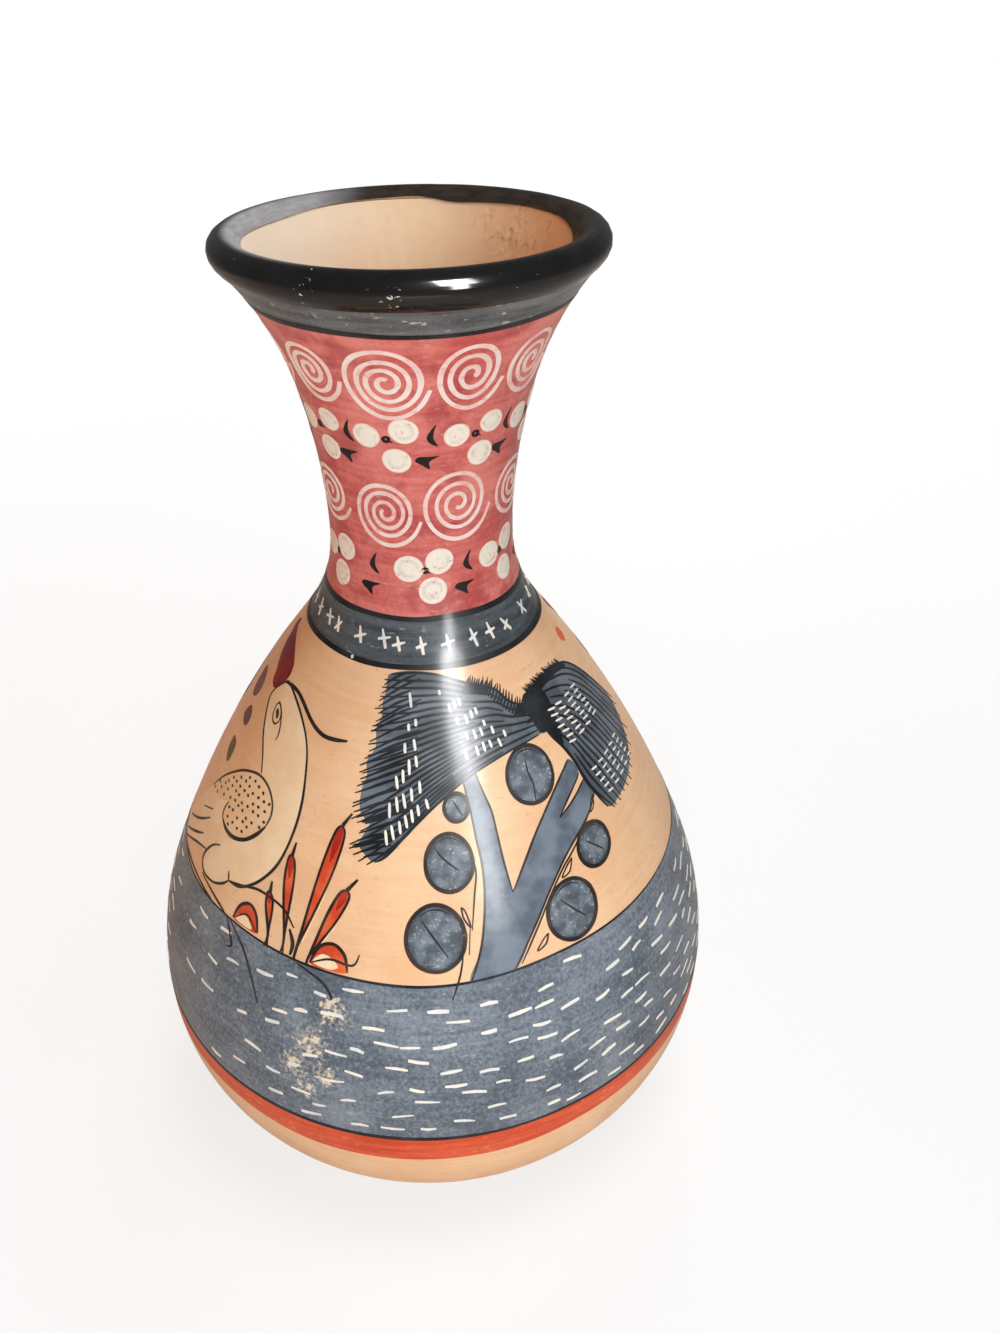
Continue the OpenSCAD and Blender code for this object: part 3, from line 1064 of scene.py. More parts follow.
def spiral(degrees, height, size, tall=1.0, turns=3.1):
    """A spiral that opens anticlockwise and ends in a tail to the right."""
    winds = np.linspace(turns, 0, round(SPIRAL_POINTS * turns))
    turn = np.radians(TAIL_TURN + hand.uniform(-8, 8)) - 2 * math.pi * winds
    wobble = 1 + 0.03 * np.sin(turn * hand.uniform(0.4, 0.7) + hand.uniform(0, 6))
    reach = size * wobble * (1 - 0.9 * winds / turns + 0.03 * np.exp(-winds * 8))
    heights = height + tall * reach * np.sin(turn)
    across = np.degrees(reach * MM * np.cos(turn) / radius_at(height * MM))
    return np.column_stack([degrees + across, heights])


def leaf_pair(degrees, height):
    """Two small hooked leaves, one over the other, with their horns to the right."""
    upper = [(0.6, 2.6), (0.15, 0.9), (0.2, -0.6), (1, -2.1), (-0.4, -1.5), (-1.15, -0.3), (-0.5, 1.2)]
    lower = [(2, 0.9), (0.6, 0.1), (0.2, -0.5), (0.3, -1.8), (-1.1, -0.9), (-2.4, 0.1), (-1.7, 0.9), (0, 0.9)]
    leaves = []
    for shape, across, up in ((upper, 0, 0), (lower, -2.4, -5.2)):
        middle = height + up
        wide = np.degrees(MM / radius_at(middle * MM))
        leaves.append([(degrees + across + x * wide, middle + y) for x, y in shape])
    return leaves


def spiral_row(seen, count, height, size):
    """Spirals right round the neck: the front ones as given, the rest alike and evenly round the back."""
    angles = round_row([s[0] for s in seen], count)
    return seen + [(degrees, height, size) for degrees in angles[len(seen):]]


# Front spirals, each (degrees, height, size) and, where it differs, its tallness and turns
upper_spirals = [(-42, 197.3, 6.5), (-8, 196.9, 8.1, 0.96, 3.8), (26.3, 198, 7, 1.08), (58, 197.6, 6.8)]
lower_spirals = [(-58, 169.6, 6.4), (-15.8, 168.5, 6.6, 1.13, 3.6), (25.4, 170.2, 7.3, 1.13, 3.3),
                 (70, 169.6, 6.6)]
neck_spirals = spiral_row(upper_spirals, 11, 197.3, 6.8) + spiral_row(lower_spirals, 8, 169.6, 6.6)
# Petals of a flower, each (degrees across, millimetres up, turn in degrees)
PETALS = ((-9.3, 0.6, 0), (9.0, 2.1, 20), (4.6, -4.3, 40))
# Rows of flowers, each (angles, height, size of a petal)
FLOWER_ROWS = ((round_row((-51, -11.5, 32), 9), 184.7, 5.3), (round_row((-58, 5, 58), 6), 155.6, 5.7))

spirals = [stroke(spiral(*s), 0.88, 0.8, 0.8) for s in neck_spirals]
paint_lines("neck_spirals", spirals, spiral_cream, LIGHT_LIFT)

petals, hearts, leaves = [], [], []
for angles, height, size in FLOWER_ROWS:
    for degrees in angles:
        for across, up, lean in PETALS:
            length = size * hand.uniform(0.94, 1.06)
            turn = lean + hand.uniform(-20, 20)
            petals.append((degrees + across, height + up, length, length * 0.98, turn))
        hearts.append(stroke(loop(oval(degrees + 0.5, height + 0.2, 0.55, 0.5, 8)), 0.55, 1, 1))
        hearts.append(stroke([(degrees + 0.6, height + 0.1), (degrees + 3.6, height - 0.4)], 0.5, 1, 0.4))
    for left, right in zip(angles, angles[1:] + [angles[0] + 360]):
        leaves += leaf_pair((left + right) / 2 + 0.8, height + 0.8)
paint_dabs("neck_petals", petals, petal_cream, sides=28, step=0.11, blunt=2)
paint_lines("petal_hearts", hearts, black_on_red, LIGHT_LIFT)
paint_shapes("neck_leaves", leaves, black_on_red, MARK_LIFT)

CROSSES = (-56.1, -47.4, -31.4, -17.5, -9.6, 2, 15.5, 29.5, 39.7, 50.8, 68.6, 84.6)
CROSS_COUNT = 28
CROSS_HEIGHT = 140.9
# The two bars of a cross, each with the range of its turn in degrees and of its half length
CROSS_BARS = (((98, 128), (1.4, 1.95)), ((5, 55), (1.05, 1.55)))
crosses = []
for degrees in round_row(CROSSES, CROSS_COUNT):
    height = CROSS_HEIGHT + hand.uniform(-0.4, 0.4)
    wide = np.degrees(MM / radius_at(height * MM))
    bars = [(hand.uniform(*turns), hand.uniform(*reaches)) for turns, reaches in CROSS_BARS]
    for turn, reach in bars:
        way = reach * np.array((math.cos(math.radians(turn)) * wide, math.sin(math.radians(turn))))
        middle = np.array((degrees, height)) + hand.uniform(-0.15, 0.15, 2)
        crosses.append(stroke([middle + way, middle, middle - way], 0.66, 0.5, 0.8))
paint_lines("collar_crosses", crosses, cream_on_grey, LIGHT_LIFT)


# Palms

# Points along a strand before it is thinned, and those at which strands begin, in turn
STRAND_POINTS = 31
STRAND_STARTS = (2, 14, 8, 17)


def strand_points(edge):
    """A crown's drawn edge as points for its strands."""
    curve = flowing(edge, parts=6)
    shares = np.linspace(0, 1, len(curve))
    return np.column_stack([np.interp(np.linspace(0, 1, STRAND_POINTS), shares, c) for c in curve.T])


def strands(upper, end, lower, count, overshoot):
    """Paths that run out between a crown's two edges and past its ragged end, some from further out."""
    top, bottom = strand_points(upper), strand_points(lower)
    tips = flowing(end, parts=12)
    paths = []
    for number, share in enumerate(np.linspace(0.01, 0.99, count)):
        tip = tips[round(share * (len(tips) - 1))] + overshoot * hand.uniform(0.2, 1.3)
        path = top + (bottom - top) * share
        start = STRAND_STARTS[number % len(STRAND_STARTS)]
        paths.append(np.concatenate([path[start:-3:4], [tip]]))
    return paths


left_upper = [(46, 126), (38.6, 127.1), (34.9, 129.3), (30.5, 131.8), (23.3, 132.8), (16.3, 134.3),
              (7.4, 135.6), (-2.7, 136), (-10.6, 135.5)]
left_end = [(-10.6, 135.5), (-13.1, 134.7), (-13, 132.6), (-13.6, 130.3), (-13.2, 128), (-14.6, 126.1),
            (-13.9, 122.9), (-16.1, 120.3), (-15.4, 117.9), (-16.4, 115.3), (-16.1, 111.9),
            (-14.2, 110.4), (-12.4, 110.2), (-14.7, 106.7), (-15, 105.4), (-12.8, 103.8), (-10.5, 102.9)]
left_lower = [(46, 120.8), (42.8, 120.7), (31.8, 120.3), (23.1, 119.2), (15.8, 117.6), (9.6, 115.4),
              (3.4, 112.3), (-2.3, 108.6), (-7.9, 104.1), (-10.5, 102.9)]
right_upper = [(45, 128.2), (53, 128.9), (62, 129), (70, 128.2), (77, 126), (84, 120.5), (89, 112.5)]
right_end = [(89, 112.5), (84, 106), (77, 102.5), (70, 101), (63, 100.5), (56.5, 101)]
right_lower = [(45.3, 124), (47, 119.9), (50, 116.2), (51.9, 112.3), (52.8, 108), (56.5, 101)]
crowns = [left_upper + left_end[1:-1] + left_lower[::-1], right_upper + right_end[1:-1] + right_lower[::-1]]
paint_shapes("palm_crowns", twice(crowns), crown_grey, MARK_LIFT)
crown_meet = [(42, 127.4), (47, 128.3), (52.6, 127.4), (53.4, 123), (51.8, 118.8), (50.2, 116.6),
              (47.4, 120), (43.4, 121.4)]
paint_shapes("crown_shade", twice([crown_meet]), strand_grey, LINE_LIFT)

left_paths = strands(left_upper, left_end, left_lower, 24, np.array((-2.4, -1.1)))
fronds = [stroke(path, 0.56, 0.5, 0.45) for path in left_paths]
right_paths = strands(right_upper, right_end, right_lower, 17, np.array((2.0, -1.2)))
fronds += [stroke(path, 0.52, 0.5, 0.4) for path in right_paths]
fronds += [stroke(path, 0.5) for path in (left_lower[1:], right_lower)]
crown_outline = flowing(crowns[0], closed=True)
for tip in flowing(left_end, parts=2):
    for sweep in (hand.uniform(0.7, 1.1), 0.5, 0.3):
        hair = tip + sweep * np.array(((15, 3.4), (7, 1.9), (-2, -0.9)))
        if inside(hair[:2], crown_outline).all():
            fronds.append(stroke(hair, 0.66, 0.4, 0.35))
            break
for share in np.arange(0.02, 0.72, 0.025):
    for edge, way, lean in ((left_upper, 1, 1.2), (right_upper, -1, 1.1)):
        degrees = edge[0][0] - way * share * 36
        height = np.interp(degrees, *np.transpose(sorted(edge)))
        tip = height + lean * hand.uniform(0.5, 1.2)
        fringe = [(degrees - 2.4 * way, height - 1.4), (degrees, height - 0.1), (degrees + 1.5 * way, tip)]
        fronds.append(stroke(fringe, 0.55, 1, 0.35))
for degrees, height in ((45.5, 124.5), (46.5, 122.5), (45, 126.5), (47.5, 121), (44, 123.5), (43, 125.2)):
    knot = [(degrees - 4, height), (degrees, height + 0.2), (degrees + 4, height - 0.6)]
    fronds.append(stroke(knot, 1.3, 0.3, 0.3))
paint_lines("crown_strands", twice(fronds), strand_grey)

CROWN_LIGHTS = ((-2.7, 131.2, 2.8), (-3, 126.7, 1.4), (-0.5, 127.5, 1.4), (-4, 123.2, 2),
                (-0.8, 123.8, 2.2), (-2.4, 120, 3), (-0.2, 121, 2.2), (-4.2, 118.4, 2.6),
                (-6, 117.3, 2.6), (0.9, 116.6, 2.4), (-1.5, 115.3, 2.6), (-3.6, 114.2, 3),
                (-5.6, 113.5, 3), (-7.6, 112.4, 3), (2.9, 113.7, 2), (0.4, 112.6, 2.2),
                (-1.3, 111.6, 2.6), (-2.9, 110.6, 2.6), (-4.5, 109.5, 2.6), (-6.4, 108.5, 3),
                (-8, 107.5, 3), (9, 132.3, 1), (14.5, 127.4, 1.2), (18, 127.3, 1.8), (17.2, 124.6, 1.5),
                (20, 124.6, 1.8), (22.5, 124.8, 1.7), (24.2, 126.1, 1.2), (19.8, 121.8, 2),
                (22.3, 122.2, 2), (24.7, 122.4, 1.6), (28, 122.2, 1.8), (16, 121.4, 1.8),
                (26.6, 124.6, 1.6), (12.4, 129.6, 1.6), (14.4, 130.2, 1.6), (16.4, 130.4, 1.4),
                (20.2, 128, 1.6), (22.2, 128.4, 1.4), (30.6, 123.4, 1.4))
lights = []
for degrees, height, size in CROWN_LIGHTS:
    lights.append((degrees, height, size * 1.1, 0.6, 98 + hand.uniform(-5, 5)))
for row in range(7):
    for column in range(4):
        degrees = 52 + 5.5 * column + 0.5 * row + hand.uniform(-0.6, 0.6)
        lights.append((degrees, 123.3 - 1.2 * row, 2.4, 0.5, hand.uniform(-12, 0)))
for row in range(5):
    for column in range(5):
        degrees = 58 + 4.2 * column + 0.6 * row
        lights.append((degrees, 109 - 1.5 * row, 2.2, 0.5, hand.uniform(-14, 4)))
paint_dabs("crown_lights", twice(lights), cream_on_grey)

DISCS = (oval(11, 112.7, 2.5, 2.5), oval(8, 103, 4.9, 5.3), oval(4, 89, 6.1, 6.5), oval(36, 87.8, 6.3, 6),
         oval(47.3, 97, 4.8, 4.3), oval(35.1, 115, 5.5, 5.2))
VEINS = ([(10, 114), (11.2, 112.8), (12.4, 111.2)], [(4.5, 105.9), (6.5, 103.9), (10, 101.6)],
         [(1, 92.6), (3.6, 89.2), (6.4, 85.4)], [(33.4, 90.8), (36, 88), (39, 85)],
         [(45, 98.6), (47, 97), (49.6, 94.8)], [(34.8, 117.9), (34.5, 115.5), (35, 113), (34.2, 110.3)])
paint_shapes("palm_discs", twice(DISCS), disc_grey)

trunk_left = [(10.8, 79.6), (13.4, 85.8), (14.9, 91.6), (15.8, 97.3), (16, 102.1), (15.4, 106.6),
              (14.9, 111.4), (14.2, 115.2), (13.4, 119)]
fork_left = [(17.4, 119.4), (19.4, 114.3), (20.7, 111), (21.1, 107), (21.5, 101.6), (22.4, 95.5)]
fork_right = [(22.4, 95.5), (26.9, 100.4), (31.6, 104.7), (37.9, 108.8), (44, 111.8), (49.8, 113.9)]
slit_upper = [(51.4, 110.4), (44.4, 107.7), (39.7, 105.3)]
slit_lower = [(39.7, 105.3), (45.5, 106.8), (52.3, 108.9)]
trunk_right = [(54, 105.4), (50, 103.2), (39.2, 98.8), (32, 93.8), (25.7, 87.3), (19.7, 80)]
trunk_edges = (trunk_left, fork_left, fork_right, slit_upper, slit_lower, trunk_right)
trunk = sum(trunk_edges, [])
paint_shapes("palm_trunks", twice([trunk]), trunk_grey)

palm_lines = [stroke(loop(disc), 0.85, 1, 1) for disc in DISCS]
for disc in DISCS:
    middle = np.mean(disc, axis=0)
    palm_lines.append(stroke(middle + 0.86 * (np.array(disc) - middle)[2:6], 0.3, 0.3, 0.3))
palm_lines += [stroke(vein, 0.42, 0.4, 0.6) for vein in VEINS]
palm_lines += [stroke(edge, 0.5) for edge in trunk_edges]
palm_lines += [stroke(path, 0.4) for path in (
    [(21.8, 81.3), (24.7, 85), (28.3, 89.2), (31.6, 92.6), (35.9, 96), (39.9, 98.1), (50, 103.2)],
    [(13.6, 104.1), (14.3, 100.8), (13.2, 96), (12, 89.9)],
    [(11.7, 91.2), (10.9, 85.3)],
    [(9.8, 86.3), (8.8, 81.7), (6.9, 76.6)],
)]
palm_lines += [stroke(loop(bud), 0.35, 1, 1) for bud in (
    [(39.4, 97.2), (37.4, 96.2), (35.4, 94.6), (37.8, 95)],
    [(28.8, 85.4), (27.4, 84.6), (25.6, 82.8), (27.8, 83.6)],
    [(53, 105.2), (51.4, 104.4), (49.8, 102.8), (51.8, 103.4)],
    [(10, 94.6), (10.9, 93.6), (11.8, 90.6), (10.4, 92.4)],
)]
paint_lines("palm_lines", twice(palm_lines), black_on_buff)


# Bird

breast = [(-62.2, 126), (-60, 126.4), (-55, 125.9), (-47.5, 124.1), (-41.2, 121.3), (-37.4, 118),
          (-35.1, 113.6), (-33.9, 109.3), (-33.9, 104.6), (-34.9, 99.9), (-36.4, 96.3), (-38.8, 93.1),
          (-42, 90.1), (-45.9, 87.8), (-49.8, 87.1)]
thigh = [(-49.8, 87.1), (-51.7, 85.3), (-55.3, 83.5), (-59.9, 82.8), (-62.4, 83.9), (-62.7, 86.1),
         (-60.4, 89.3), (-57.4, 91.1)]
tail = [(-62.7, 86.8), (-69.7, 84), (-79.3, 78.9), (-84, 79.8), (-83.8, 81.9), (-80, 88.3), (-73.8, 96.2)]
nape = [(-52.1, 109.8), (-55.4, 112.9), (-60.5, 116.3), (-64.2, 119), (-67, 121.4), (-65.9, 123.6),
        (-62.2, 126)]
wing = [(-73.8, 96.2), (-69.3, 101.3), (-62.5, 106), (-56.3, 108.5), (-51.4, 109.3), (-46.9, 108.6),
        (-43.8, 106.7), (-42.7, 104.4), (-43.4, 101.8), (-45.6, 99.3), (-48.9, 96.8), (-53.2, 95.2),
        (-57.3, 94.9), (-60.6, 95.7), (-61.7, 97.4), (-61, 99.5), (-67, 97)]
body = breast[1:] + thigh[1:-2] + tail + wing[1:4] + nape
eye = [(-60.3, 121.8), (-59, 122.4), (-56.3, 121.6), (-54.9, 120.1), (-56.2, 118.9), (-58.5, 119.1),
       (-60, 120.4)]
paint_shapes("bird_body", twice([body]), breast_cream)
paint_shapes("bird_wing", twice([wing]), wing_buff, MARK_LIFT)

dots = []
wing_outline = flowing(wing, closed=True)
for row, height in enumerate(np.arange(95.8, 109, 1.65)):
    for degrees in np.arange(-73, -43, 2.6) + 1.3 * (row % 2):
        spot = np.array((degrees, height)) + hand.uniform(-0.35, 0.35, 2)
        if inside(spot[None], wing_outline)[0] and edge_distance(spot[None], wing_outline)[0] > 0.7:
            dots.append((*spot, 0.9, 0.72, hand.uniform(-40, 40)))
paint_dabs("wing_dots", twice(dots), black_on_buff, sides=8, blunt=2)

bird_lines = [
    stroke(nape + breast[1:], 0.55),
    stroke(breast[5:], 0.62),
    stroke(thigh, 0.55),
    stroke(wing[:9], 0.55),
    stroke(wing[8:14], 0.9),
    stroke(wing[12:16], 0.45),
    stroke([(-62.2, 126), (-57.8, 126.5), (-52.6, 126.5), (-47.3, 125.6), (-41.6, 124), (-37.3, 122.9),
            (-33.1, 122.3), (-28.6, 122.4), (-24.1, 122.8)], 0.85),
    stroke(loop(eye), 0.4, 1, 1),
    stroke([(-58.8, 121.2), (-57.4, 120.6), (-56.6, 119.9)], 1.2, 0.7, 0.7),
    stroke([(-59.6, 122.6), (-55.8, 121.4), (-53.3, 119.5), (-52.2, 117.9), (-52.4, 116.7)], 0.45),
    stroke([(-50.7, 88.8), (-50.2, 87.9), (-49.8, 87.1)], 0.5),
    stroke([(-81.7, 82.5), (-73, 87.8), (-66.9, 92.1)], 0.6),
    stroke([(-73.4, 91), (-67.3, 94)], 0.6),
    stroke([(-80.2, 79.9), (-72, 84.9), (-67.1, 87.9)], 0.6),
    stroke([(-79.3, 78.5), (-69.7, 84), (-62.7, 86.8)], 0.55),
    stroke([(-77.8, 78.6), (-69.9, 79.8), (-62, 80.2), (-55, 80.1), (-52.1, 79.9)], 0.5),
    stroke([(-60.7, 82.2), (-55.1, 81.8), (-50.1, 81.1), (-47, 80.3)], 0.5),
    stroke([(-49.8, 87.1), (-45, 88.5), (-40, 90), (-35, 90), (-31, 89), (-28, 86.5)], 0.55),
    stroke([(-47, 80.6), (-44.5, 77.6), (-43.4, 75.6), (-44.6, 74.8)], 0.5),
    stroke([(-46, 80.6), (-40, 77), (-36, 72), (-33.5, 67.5)], 0.5),
    stroke([(-26, 80), (-20, 78), (-17.5, 75.5), (-17.6, 74.6)], 0.5),
]
paint_lines("bird_lines", twice(bird_lines), black_on_buff, LIGHT_LIFT)


# Reeds, bulbs and flowers

def blade(base, tip, width, share=0.62):
    """A long leaf from base to tip, widest past its middle."""
    base, tip = np.array(base, float), np.array(tip, float)
    middle = (base + tip) / 2
    wide = np.degrees(width / 2 * MM / radius_at(middle[1] * MM))
    along = tip - base
    return [base, base + share * along - (wide, 0), base + 0.93 * along - (0.8 * wide, -0.2), tip,
            base + 0.93 * along + (0.9 * wide, -0.2), base + share * along + (wide, 0)]


REEDS = (((-26.5, 83), (-20.2, 108.3), 2.9, (-18, 110.8)),
         ((-23.4, 82), (-16.6, 96.8), 2.7, (-14.2, 99.2)),
         ((-30, 84), (-32.6, 99.8), 2.4, (-32.3, 102.4)), ((-34.2, 83), (-36.2, 91), 1.9, (-36.4, 93.2)))
reeds = [blade(base, tip, width) for base, tip, width, _ in REEDS]
bulbs = [[(-45, 81.3), (-43.8, 84.6), (-41, 86.3), (-38.4, 85), (-37, 81.8), (-41, 81.2)],
         [(-23, 81), (-21.2, 84.8), (-18, 86), (-15.4, 84.2), (-14.5, 81), (-18.5, 80.6)]]
paint_shapes("reed_heads", twice(reeds + bulbs), orange_on_buff)
bulb_lights = [[(-44.3, 81.6), (-42.6, 83.3), (-40.6, 83.4), (-38.8, 81.8), (-41, 81.4)],
               [(-22.3, 81.3), (-20.6, 83.4), (-18.4, 83.2), (-16.6, 81.7), (-18.6, 80.8)]]
paint_shapes("bulb_lights", twice(bulb_lights), breast_cream, MARK_LIFT)
reed_lights = []
for base, tip, *_ in REEDS[:2]:
    middle = (np.array(base) + tip) / 2
    reed_lights.append(stroke([np.array(base) + (1.0, 1.5), middle + (1.7, 0)], 0.5))
paint_lines("reed_lights", twice(reed_lights), breast_cream, LINE_LIFT)
reed_tips = []
for base, tip, width, _ in REEDS:
    base, tip = np.array(base, float), np.array(tip, float)
    along = tip - base
    reed_tips.append(stroke([base + 0.72 * along, base + 0.86 * along, tip], 0.55 * width, 0.15, 0.7))
paint_lines("reed_tips", twice(reed_tips), reed_red, LINE_LIFT)

reed_lines = []
for (base, tip, width, spike), shape in zip(REEDS, reeds):
    foot = (base[0] - 0.4, 80.2)
    reed_lines.append(stroke([foot, base, *shape[1:4]], 0.65))
    reed_lines.append(stroke([(foot[0] + 0.9, 80.2), base, shape[5], shape[4], tip], 0.55))
    reed_lines.append(stroke([tip, spike], 1.0, 1, 0.5))
for bulb in bulbs:
    reed_lines.append(stroke(bulb[:5], 0.7))
reed_lines += [
    stroke([(-44.5, 81.6), (-41, 83.9), (-37.4, 81.8)], 0.45),
    stroke([(-22.6, 81.2), (-18.5, 82.9), (-13.6, 82.6), (-12.2, 85)], 0.5),
    stroke([(-29, 86), (-27.6, 83.4), (-27.8, 81)], 1.0),
]
paint_lines("reed_lines", twice(reed_lines), black_on_buff, LIGHT_LIFT)

plume = [(-84.4, 134.3), (-82.1, 133.1), (-73.2, 131.7), (-64.9, 129.8), (-62.4, 128.1), (-62.6, 126.5),
         (-64.6, 124.7), (-67.7, 123), (-71.8, 123.5), (-74.3, 125.3), (-80.5, 127.7), (-85, 130.8),
         (-87.6, 132.9)]
upper_mark = [(-86.4, 121.6), (-80.2, 121.8), (-76.9, 119.8), (-77.4, 117.5), (-81.3, 116.1),
              (-84.8, 117.4)]
lower_mark = [(-76.2, 115.5), (-73, 115.1), (-71.7, 113.6), (-72.5, 112.1), (-75.3, 111.7),
              (-78.8, 112.4), (-78.4, 114)]
drop = [(-76.3, 107.9), (-72.7, 107.9), (-71.4, 106.2), (-71.5, 103.9), (-73.3, 103.3), (-76.1, 104.6),
        (-76.9, 106.6)]
paint_shapes("flower_plume", twice([plume]), plume_red)
paint_shapes("flower_marks", twice([upper_mark, lower_mark]), mark_purple)
paint_shapes("flower_drop", twice([drop]), drop_olive)
paint_shapes("shoulder_dot", [oval(86.4, 130, 1.7, 1.5)], orange_on_buff)
collar_dot = oval(-32.5, 136.6, 0.36, 0.36, 8)
paint_shapes("collar_dot", twice([collar_dot]), cream_on_grey, LIGHT_LIFT)


# Ground dashes

# Dashes that the photo shows, each (degrees, height)
DASHES = ((-26.5, 77), (-13, 77.6), (33, 78.3), (-46, 77.5), (-55, 76), (-33, 74.8), (-4, 74.6),
          (4, 74.4), (14, 74.8), (26, 74.9), (-42, 72.6), (-58, 70.7), (20, 71.5), (-48, 69.3),
          (-23.5, 70.4), (-8.5, 70.2), (13.5, 69), (30.5, 69.3), (-29.5, 65.5), (-1.5, 66.8), (5, 67),
          (24, 67.7), (19, 65.7), (-11.5, 65), (-55, 62), (-48, 62.5), (-37, 63.5), (-4, 61.8), (6, 61),
          (13, 60.1), (20, 60.8), (29.5, 62.3), (-12, 59.4), (26, 58.8), (-33.5, 57), (-6, 55.7),
          (1.5, 53.6), (10, 55.3), (21.5, 55.1), (31, 53.7), (-13, 52), (-22.5, 50.9), (-37, 50.3),
          (-3, 49.5), (14, 50.5), (25, 50.7), (-44, 46.3), (-28, 47.5), (-20.5, 45.2), (-11, 45.3),
          (1.5, 45.8), (8, 47.5), (16, 46.3), (25, 46.3))


def dash(degrees, height):
    """A short brush dash that bends a little and thins towards one end."""
    half = np.degrees(hand.uniform(1.4, 2.7) * MM / radius_at(height * MM))
    slope, bend = hand.uniform(-0.5, 0.35), hand.uniform(-0.25, 0.25)
    path = [(degrees - half, height + slope), (degrees, height + bend), (degrees + half, height - slope)]
    return stroke(path, hand.uniform(0.55, 0.9), hand.uniform(0.5, 1), hand.uniform(0.4, 0.9))


# Rows that fill the ground wherever a dash has room: heights, angles, the shift of every other row, the
# scatter in degrees and millimetres, how much sideways distance counts, and the least gap
ROW_HEIGHTS = np.arange(45.6, 76.4, 3.7)
ROW_ANGLES = np.arange(-30, 286, 8.5)
ROW_SHIFT = 4.2
SCATTER = (2, 0.9)
SIDEWAYS_SHARE = 0.62
LEAST_GAP = 3.1

places = list(DASHES)
for row, height in enumerate(ROW_HEIGHTS):
    for degrees in ROW_ANGLES + ROW_SHIFT * (row % 2):
        place = np.array((degrees, height)) + hand.uniform(-1, 1, 2) * SCATTER
        sideways = radius_at(height * MM) / MM * math.pi / 180 * SIDEWAYS_SHARE
        apart = (np.array(places) - place) * (sideways, 1)
        if np.linalg.norm(apart, axis=1).min() > LEAST_GAP:
            places.append(tuple(place))
paint_lines("ground_dashes", [dash(*place) for place in places], cream_on_grey, LIGHT_LIFT, 2)


# Camera, light and floor

# The photo's camera: height and focal length in pixels, sensor in millimetres, place in metres, degrees
PHOTO_HEIGHT = 1333
FOCAL_PIXELS = 1173
SENSOR = 36.0
CAMERA_PLACE = (0.01682, -0.22403, 0.27013)
CAMERA_PITCH = 33.83
CAMERA_ROLL = 0.25
NEAR_CLIP = 0.01
# Strength of the white surroundings as light on the pot, and as the pot mirrors them
WORLD_LIGHT = 0.04
MIRRORED_WHITE = 0.15
# The floor's half width and, in metres from the axis, where its shadow begins to fade and where it is white
FLOOR_HALF = 8.0
FLOOR_NEAR = 0.16
FLOOR_FAR = 0.55
# Share of plain white near the pot, and the floor's tone as it is seen and as it throws light on the pot
FLOOR_GLOW = 0.75
FLOOR_ROUGHNESS = 0.9
FLOOR_PALE = (0.9, 0.9, 0.9, 1)
FLOOR_BOUNCE = (0.52, 0.44, 0.37, 1)


def set_camera():
    """The photo's viewpoint."""
    data = bpy.data.cameras.new("camera")
    data.sensor_width = SENSOR
    data.lens = SENSOR * FOCAL_PIXELS / PHOTO_HEIGHT
    data.clip_start = NEAR_CLIP
    camera = helper_object("camera", data)
    camera.location = CAMERA_PLACE
    camera.rotation_mode = "ZYX"
    camera.rotation_euler = (math.radians(90 - CAMERA_PITCH), 0, math.radians(CAMERA_ROLL))
    bpy.context.scene.camera = camera


def softbox(name, azimuth, elevation, distance, size, power, colour=(1, 1, 1), matt=True, gloss=True):
    """An area lamp that faces the pot's middle, for matt light, gloss or both; azimuth 90 is the right."""
    data = bpy.data.lights.new(name, "AREA")
    data.shape = "RECTANGLE"
    data.size, data.size_y = size
    data.energy = power
    data.color = colour
    lamp = helper_object(name, data)
    turn, rise = math.radians(azimuth), math.radians(elevation)
    way = Vector((math.sin(turn) * math.cos(rise), -math.cos(turn) * math.cos(rise), math.sin(rise)))
    lamp.location = Vector((0, 0, rim_top[1] / 2)) + way * distance
    lamp.rotation_mode = "QUATERNION"
    lamp.rotation_quaternion = way.to_track_quat("Z", "Y")
    lamp.visible_diffuse = matt
    lamp.visible_glossy = gloss


def seen_directly(tree):
    """1 for rays that see the white surroundings, less for mirrored ones, 0 for those that gather light."""
    path = tree.node("ShaderNodeLightPath")
    mirrored = MIRRORED_WHITE * (path["Is Glossy Ray"] + path["Is Transmission Ray"])
    return mirrored.maths("MAXIMUM", path["Is Camera Ray"], mirrored)


def set_world():
    """White to look at, and a faint even light on the pot."""
    world = bpy.data.worlds.new("studio")
    bpy.context.scene.world = world
    world.use_nodes = True
    tree = Tree(world.node_tree)
    background = world.node_tree.nodes["Background"]
    background.inputs["Color"].default_value = (1, 1, 1, 1)
    strength = WORLD_LIGHT + (1 - WORLD_LIGHT) * seen_directly(tree)
    world.node_tree.links.new(strength.socket, background.inputs["Strength"])


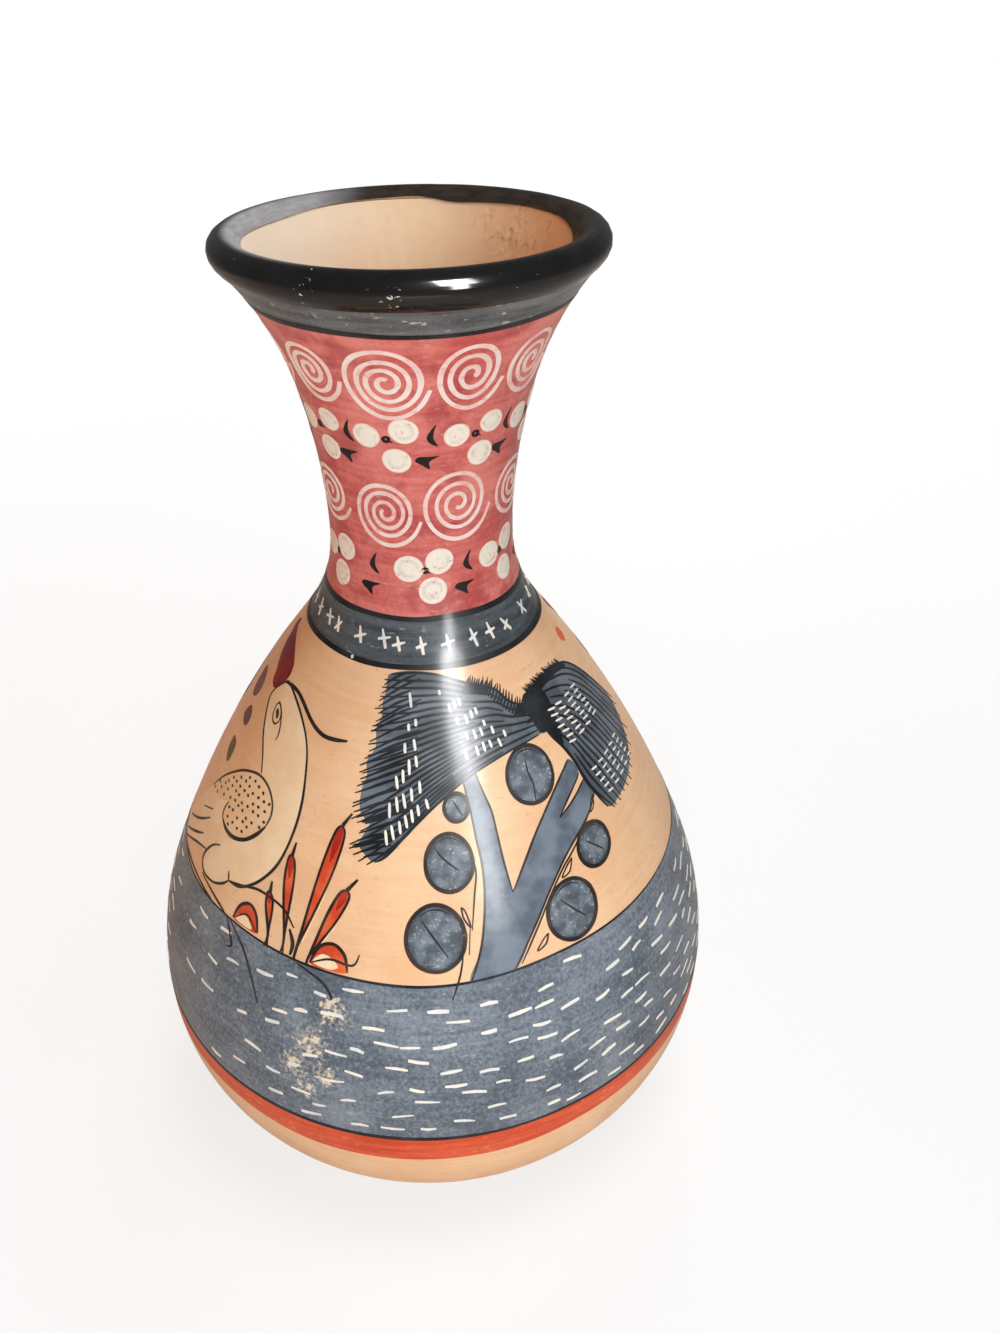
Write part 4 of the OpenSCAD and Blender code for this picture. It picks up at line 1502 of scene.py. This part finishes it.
def set_floor():
    """A pale floor that keeps the shadow near the pot and goes over to plain white further off."""
    mesh = bpy.data.meshes.new("floor")
    corners = [(-1, -1), (1, -1), (1, 1), (-1, 1)]
    mesh.from_pydata([(x * FLOOR_HALF, y * FLOOR_HALF, 0) for x, y in corners], [], [(0, 1, 2, 3)])
    floor = helper_object("floor", mesh)
    finish = Finish("pale_floor")
    shader = finish.shader
    shader.inputs["Roughness"].default_value = FLOOR_ROUGHNESS
    shader.inputs["Specular IOR Level"].default_value = 0.0
    away = finish.node("ShaderNodeVectorMath", {"operation": "LENGTH"}, {0: finish.place})["Value"]
    shown = seen_directly(finish)
    tone = finish.blend(shown, FLOOR_BOUNCE, FLOOR_PALE)
    finish.tree.links.new(tone.socket, shader.inputs["Base Color"])
    share = (FLOOR_GLOW + (1 - FLOOR_GLOW) * finish.step(away, FLOOR_NEAR, FLOOR_FAR)) * shown
    white = finish.node("ShaderNodeEmission")["Emission"]
    plain = Wire(finish, shader.outputs["BSDF"])
    mixed = finish.node("ShaderNodeMixShader", None, {0: share, 1: plain, 2: white})["Shader"]
    output = finish.tree.nodes["Material Output"]
    finish.tree.links.new(mixed.socket, output.inputs["Surface"])
    mesh.materials.append(finish.material)


set_camera()
set_world()
set_floor()
softbox("window_left_pane", 25, 40, 0.9, (0.17, 0.45), 12.5, matt=False)
softbox("window_right_pane", 36, 40, 0.9, (0.1, 0.45), 3.4, matt=False)
softbox("window_sill", 29, 17, 0.9, (0.13, 0.4), 5.5, matt=False)
softbox("front", 8, 21, 0.42, (0.16, 0.16), 0.75, gloss=False)
softbox("low_front", 8, -9, 0.42, (0.16, 0.08), 0.42, gloss=False)
softbox("overhead", 75, 78, 1.2, (0.6, 0.6), 8.8, gloss=False)
softbox("warm_side", -108, 4, 0.7, (0.4, 0.6), 1.9, (1.0, 0.43, 0.1), gloss=False)
softbox("back_fill", 172, 20, 0.6, (0.3, 0.3), 1.7, gloss=False)

bpy.context.scene.view_settings.view_transform = "Standard"
bpy.data.objects.remove(clay_skin)
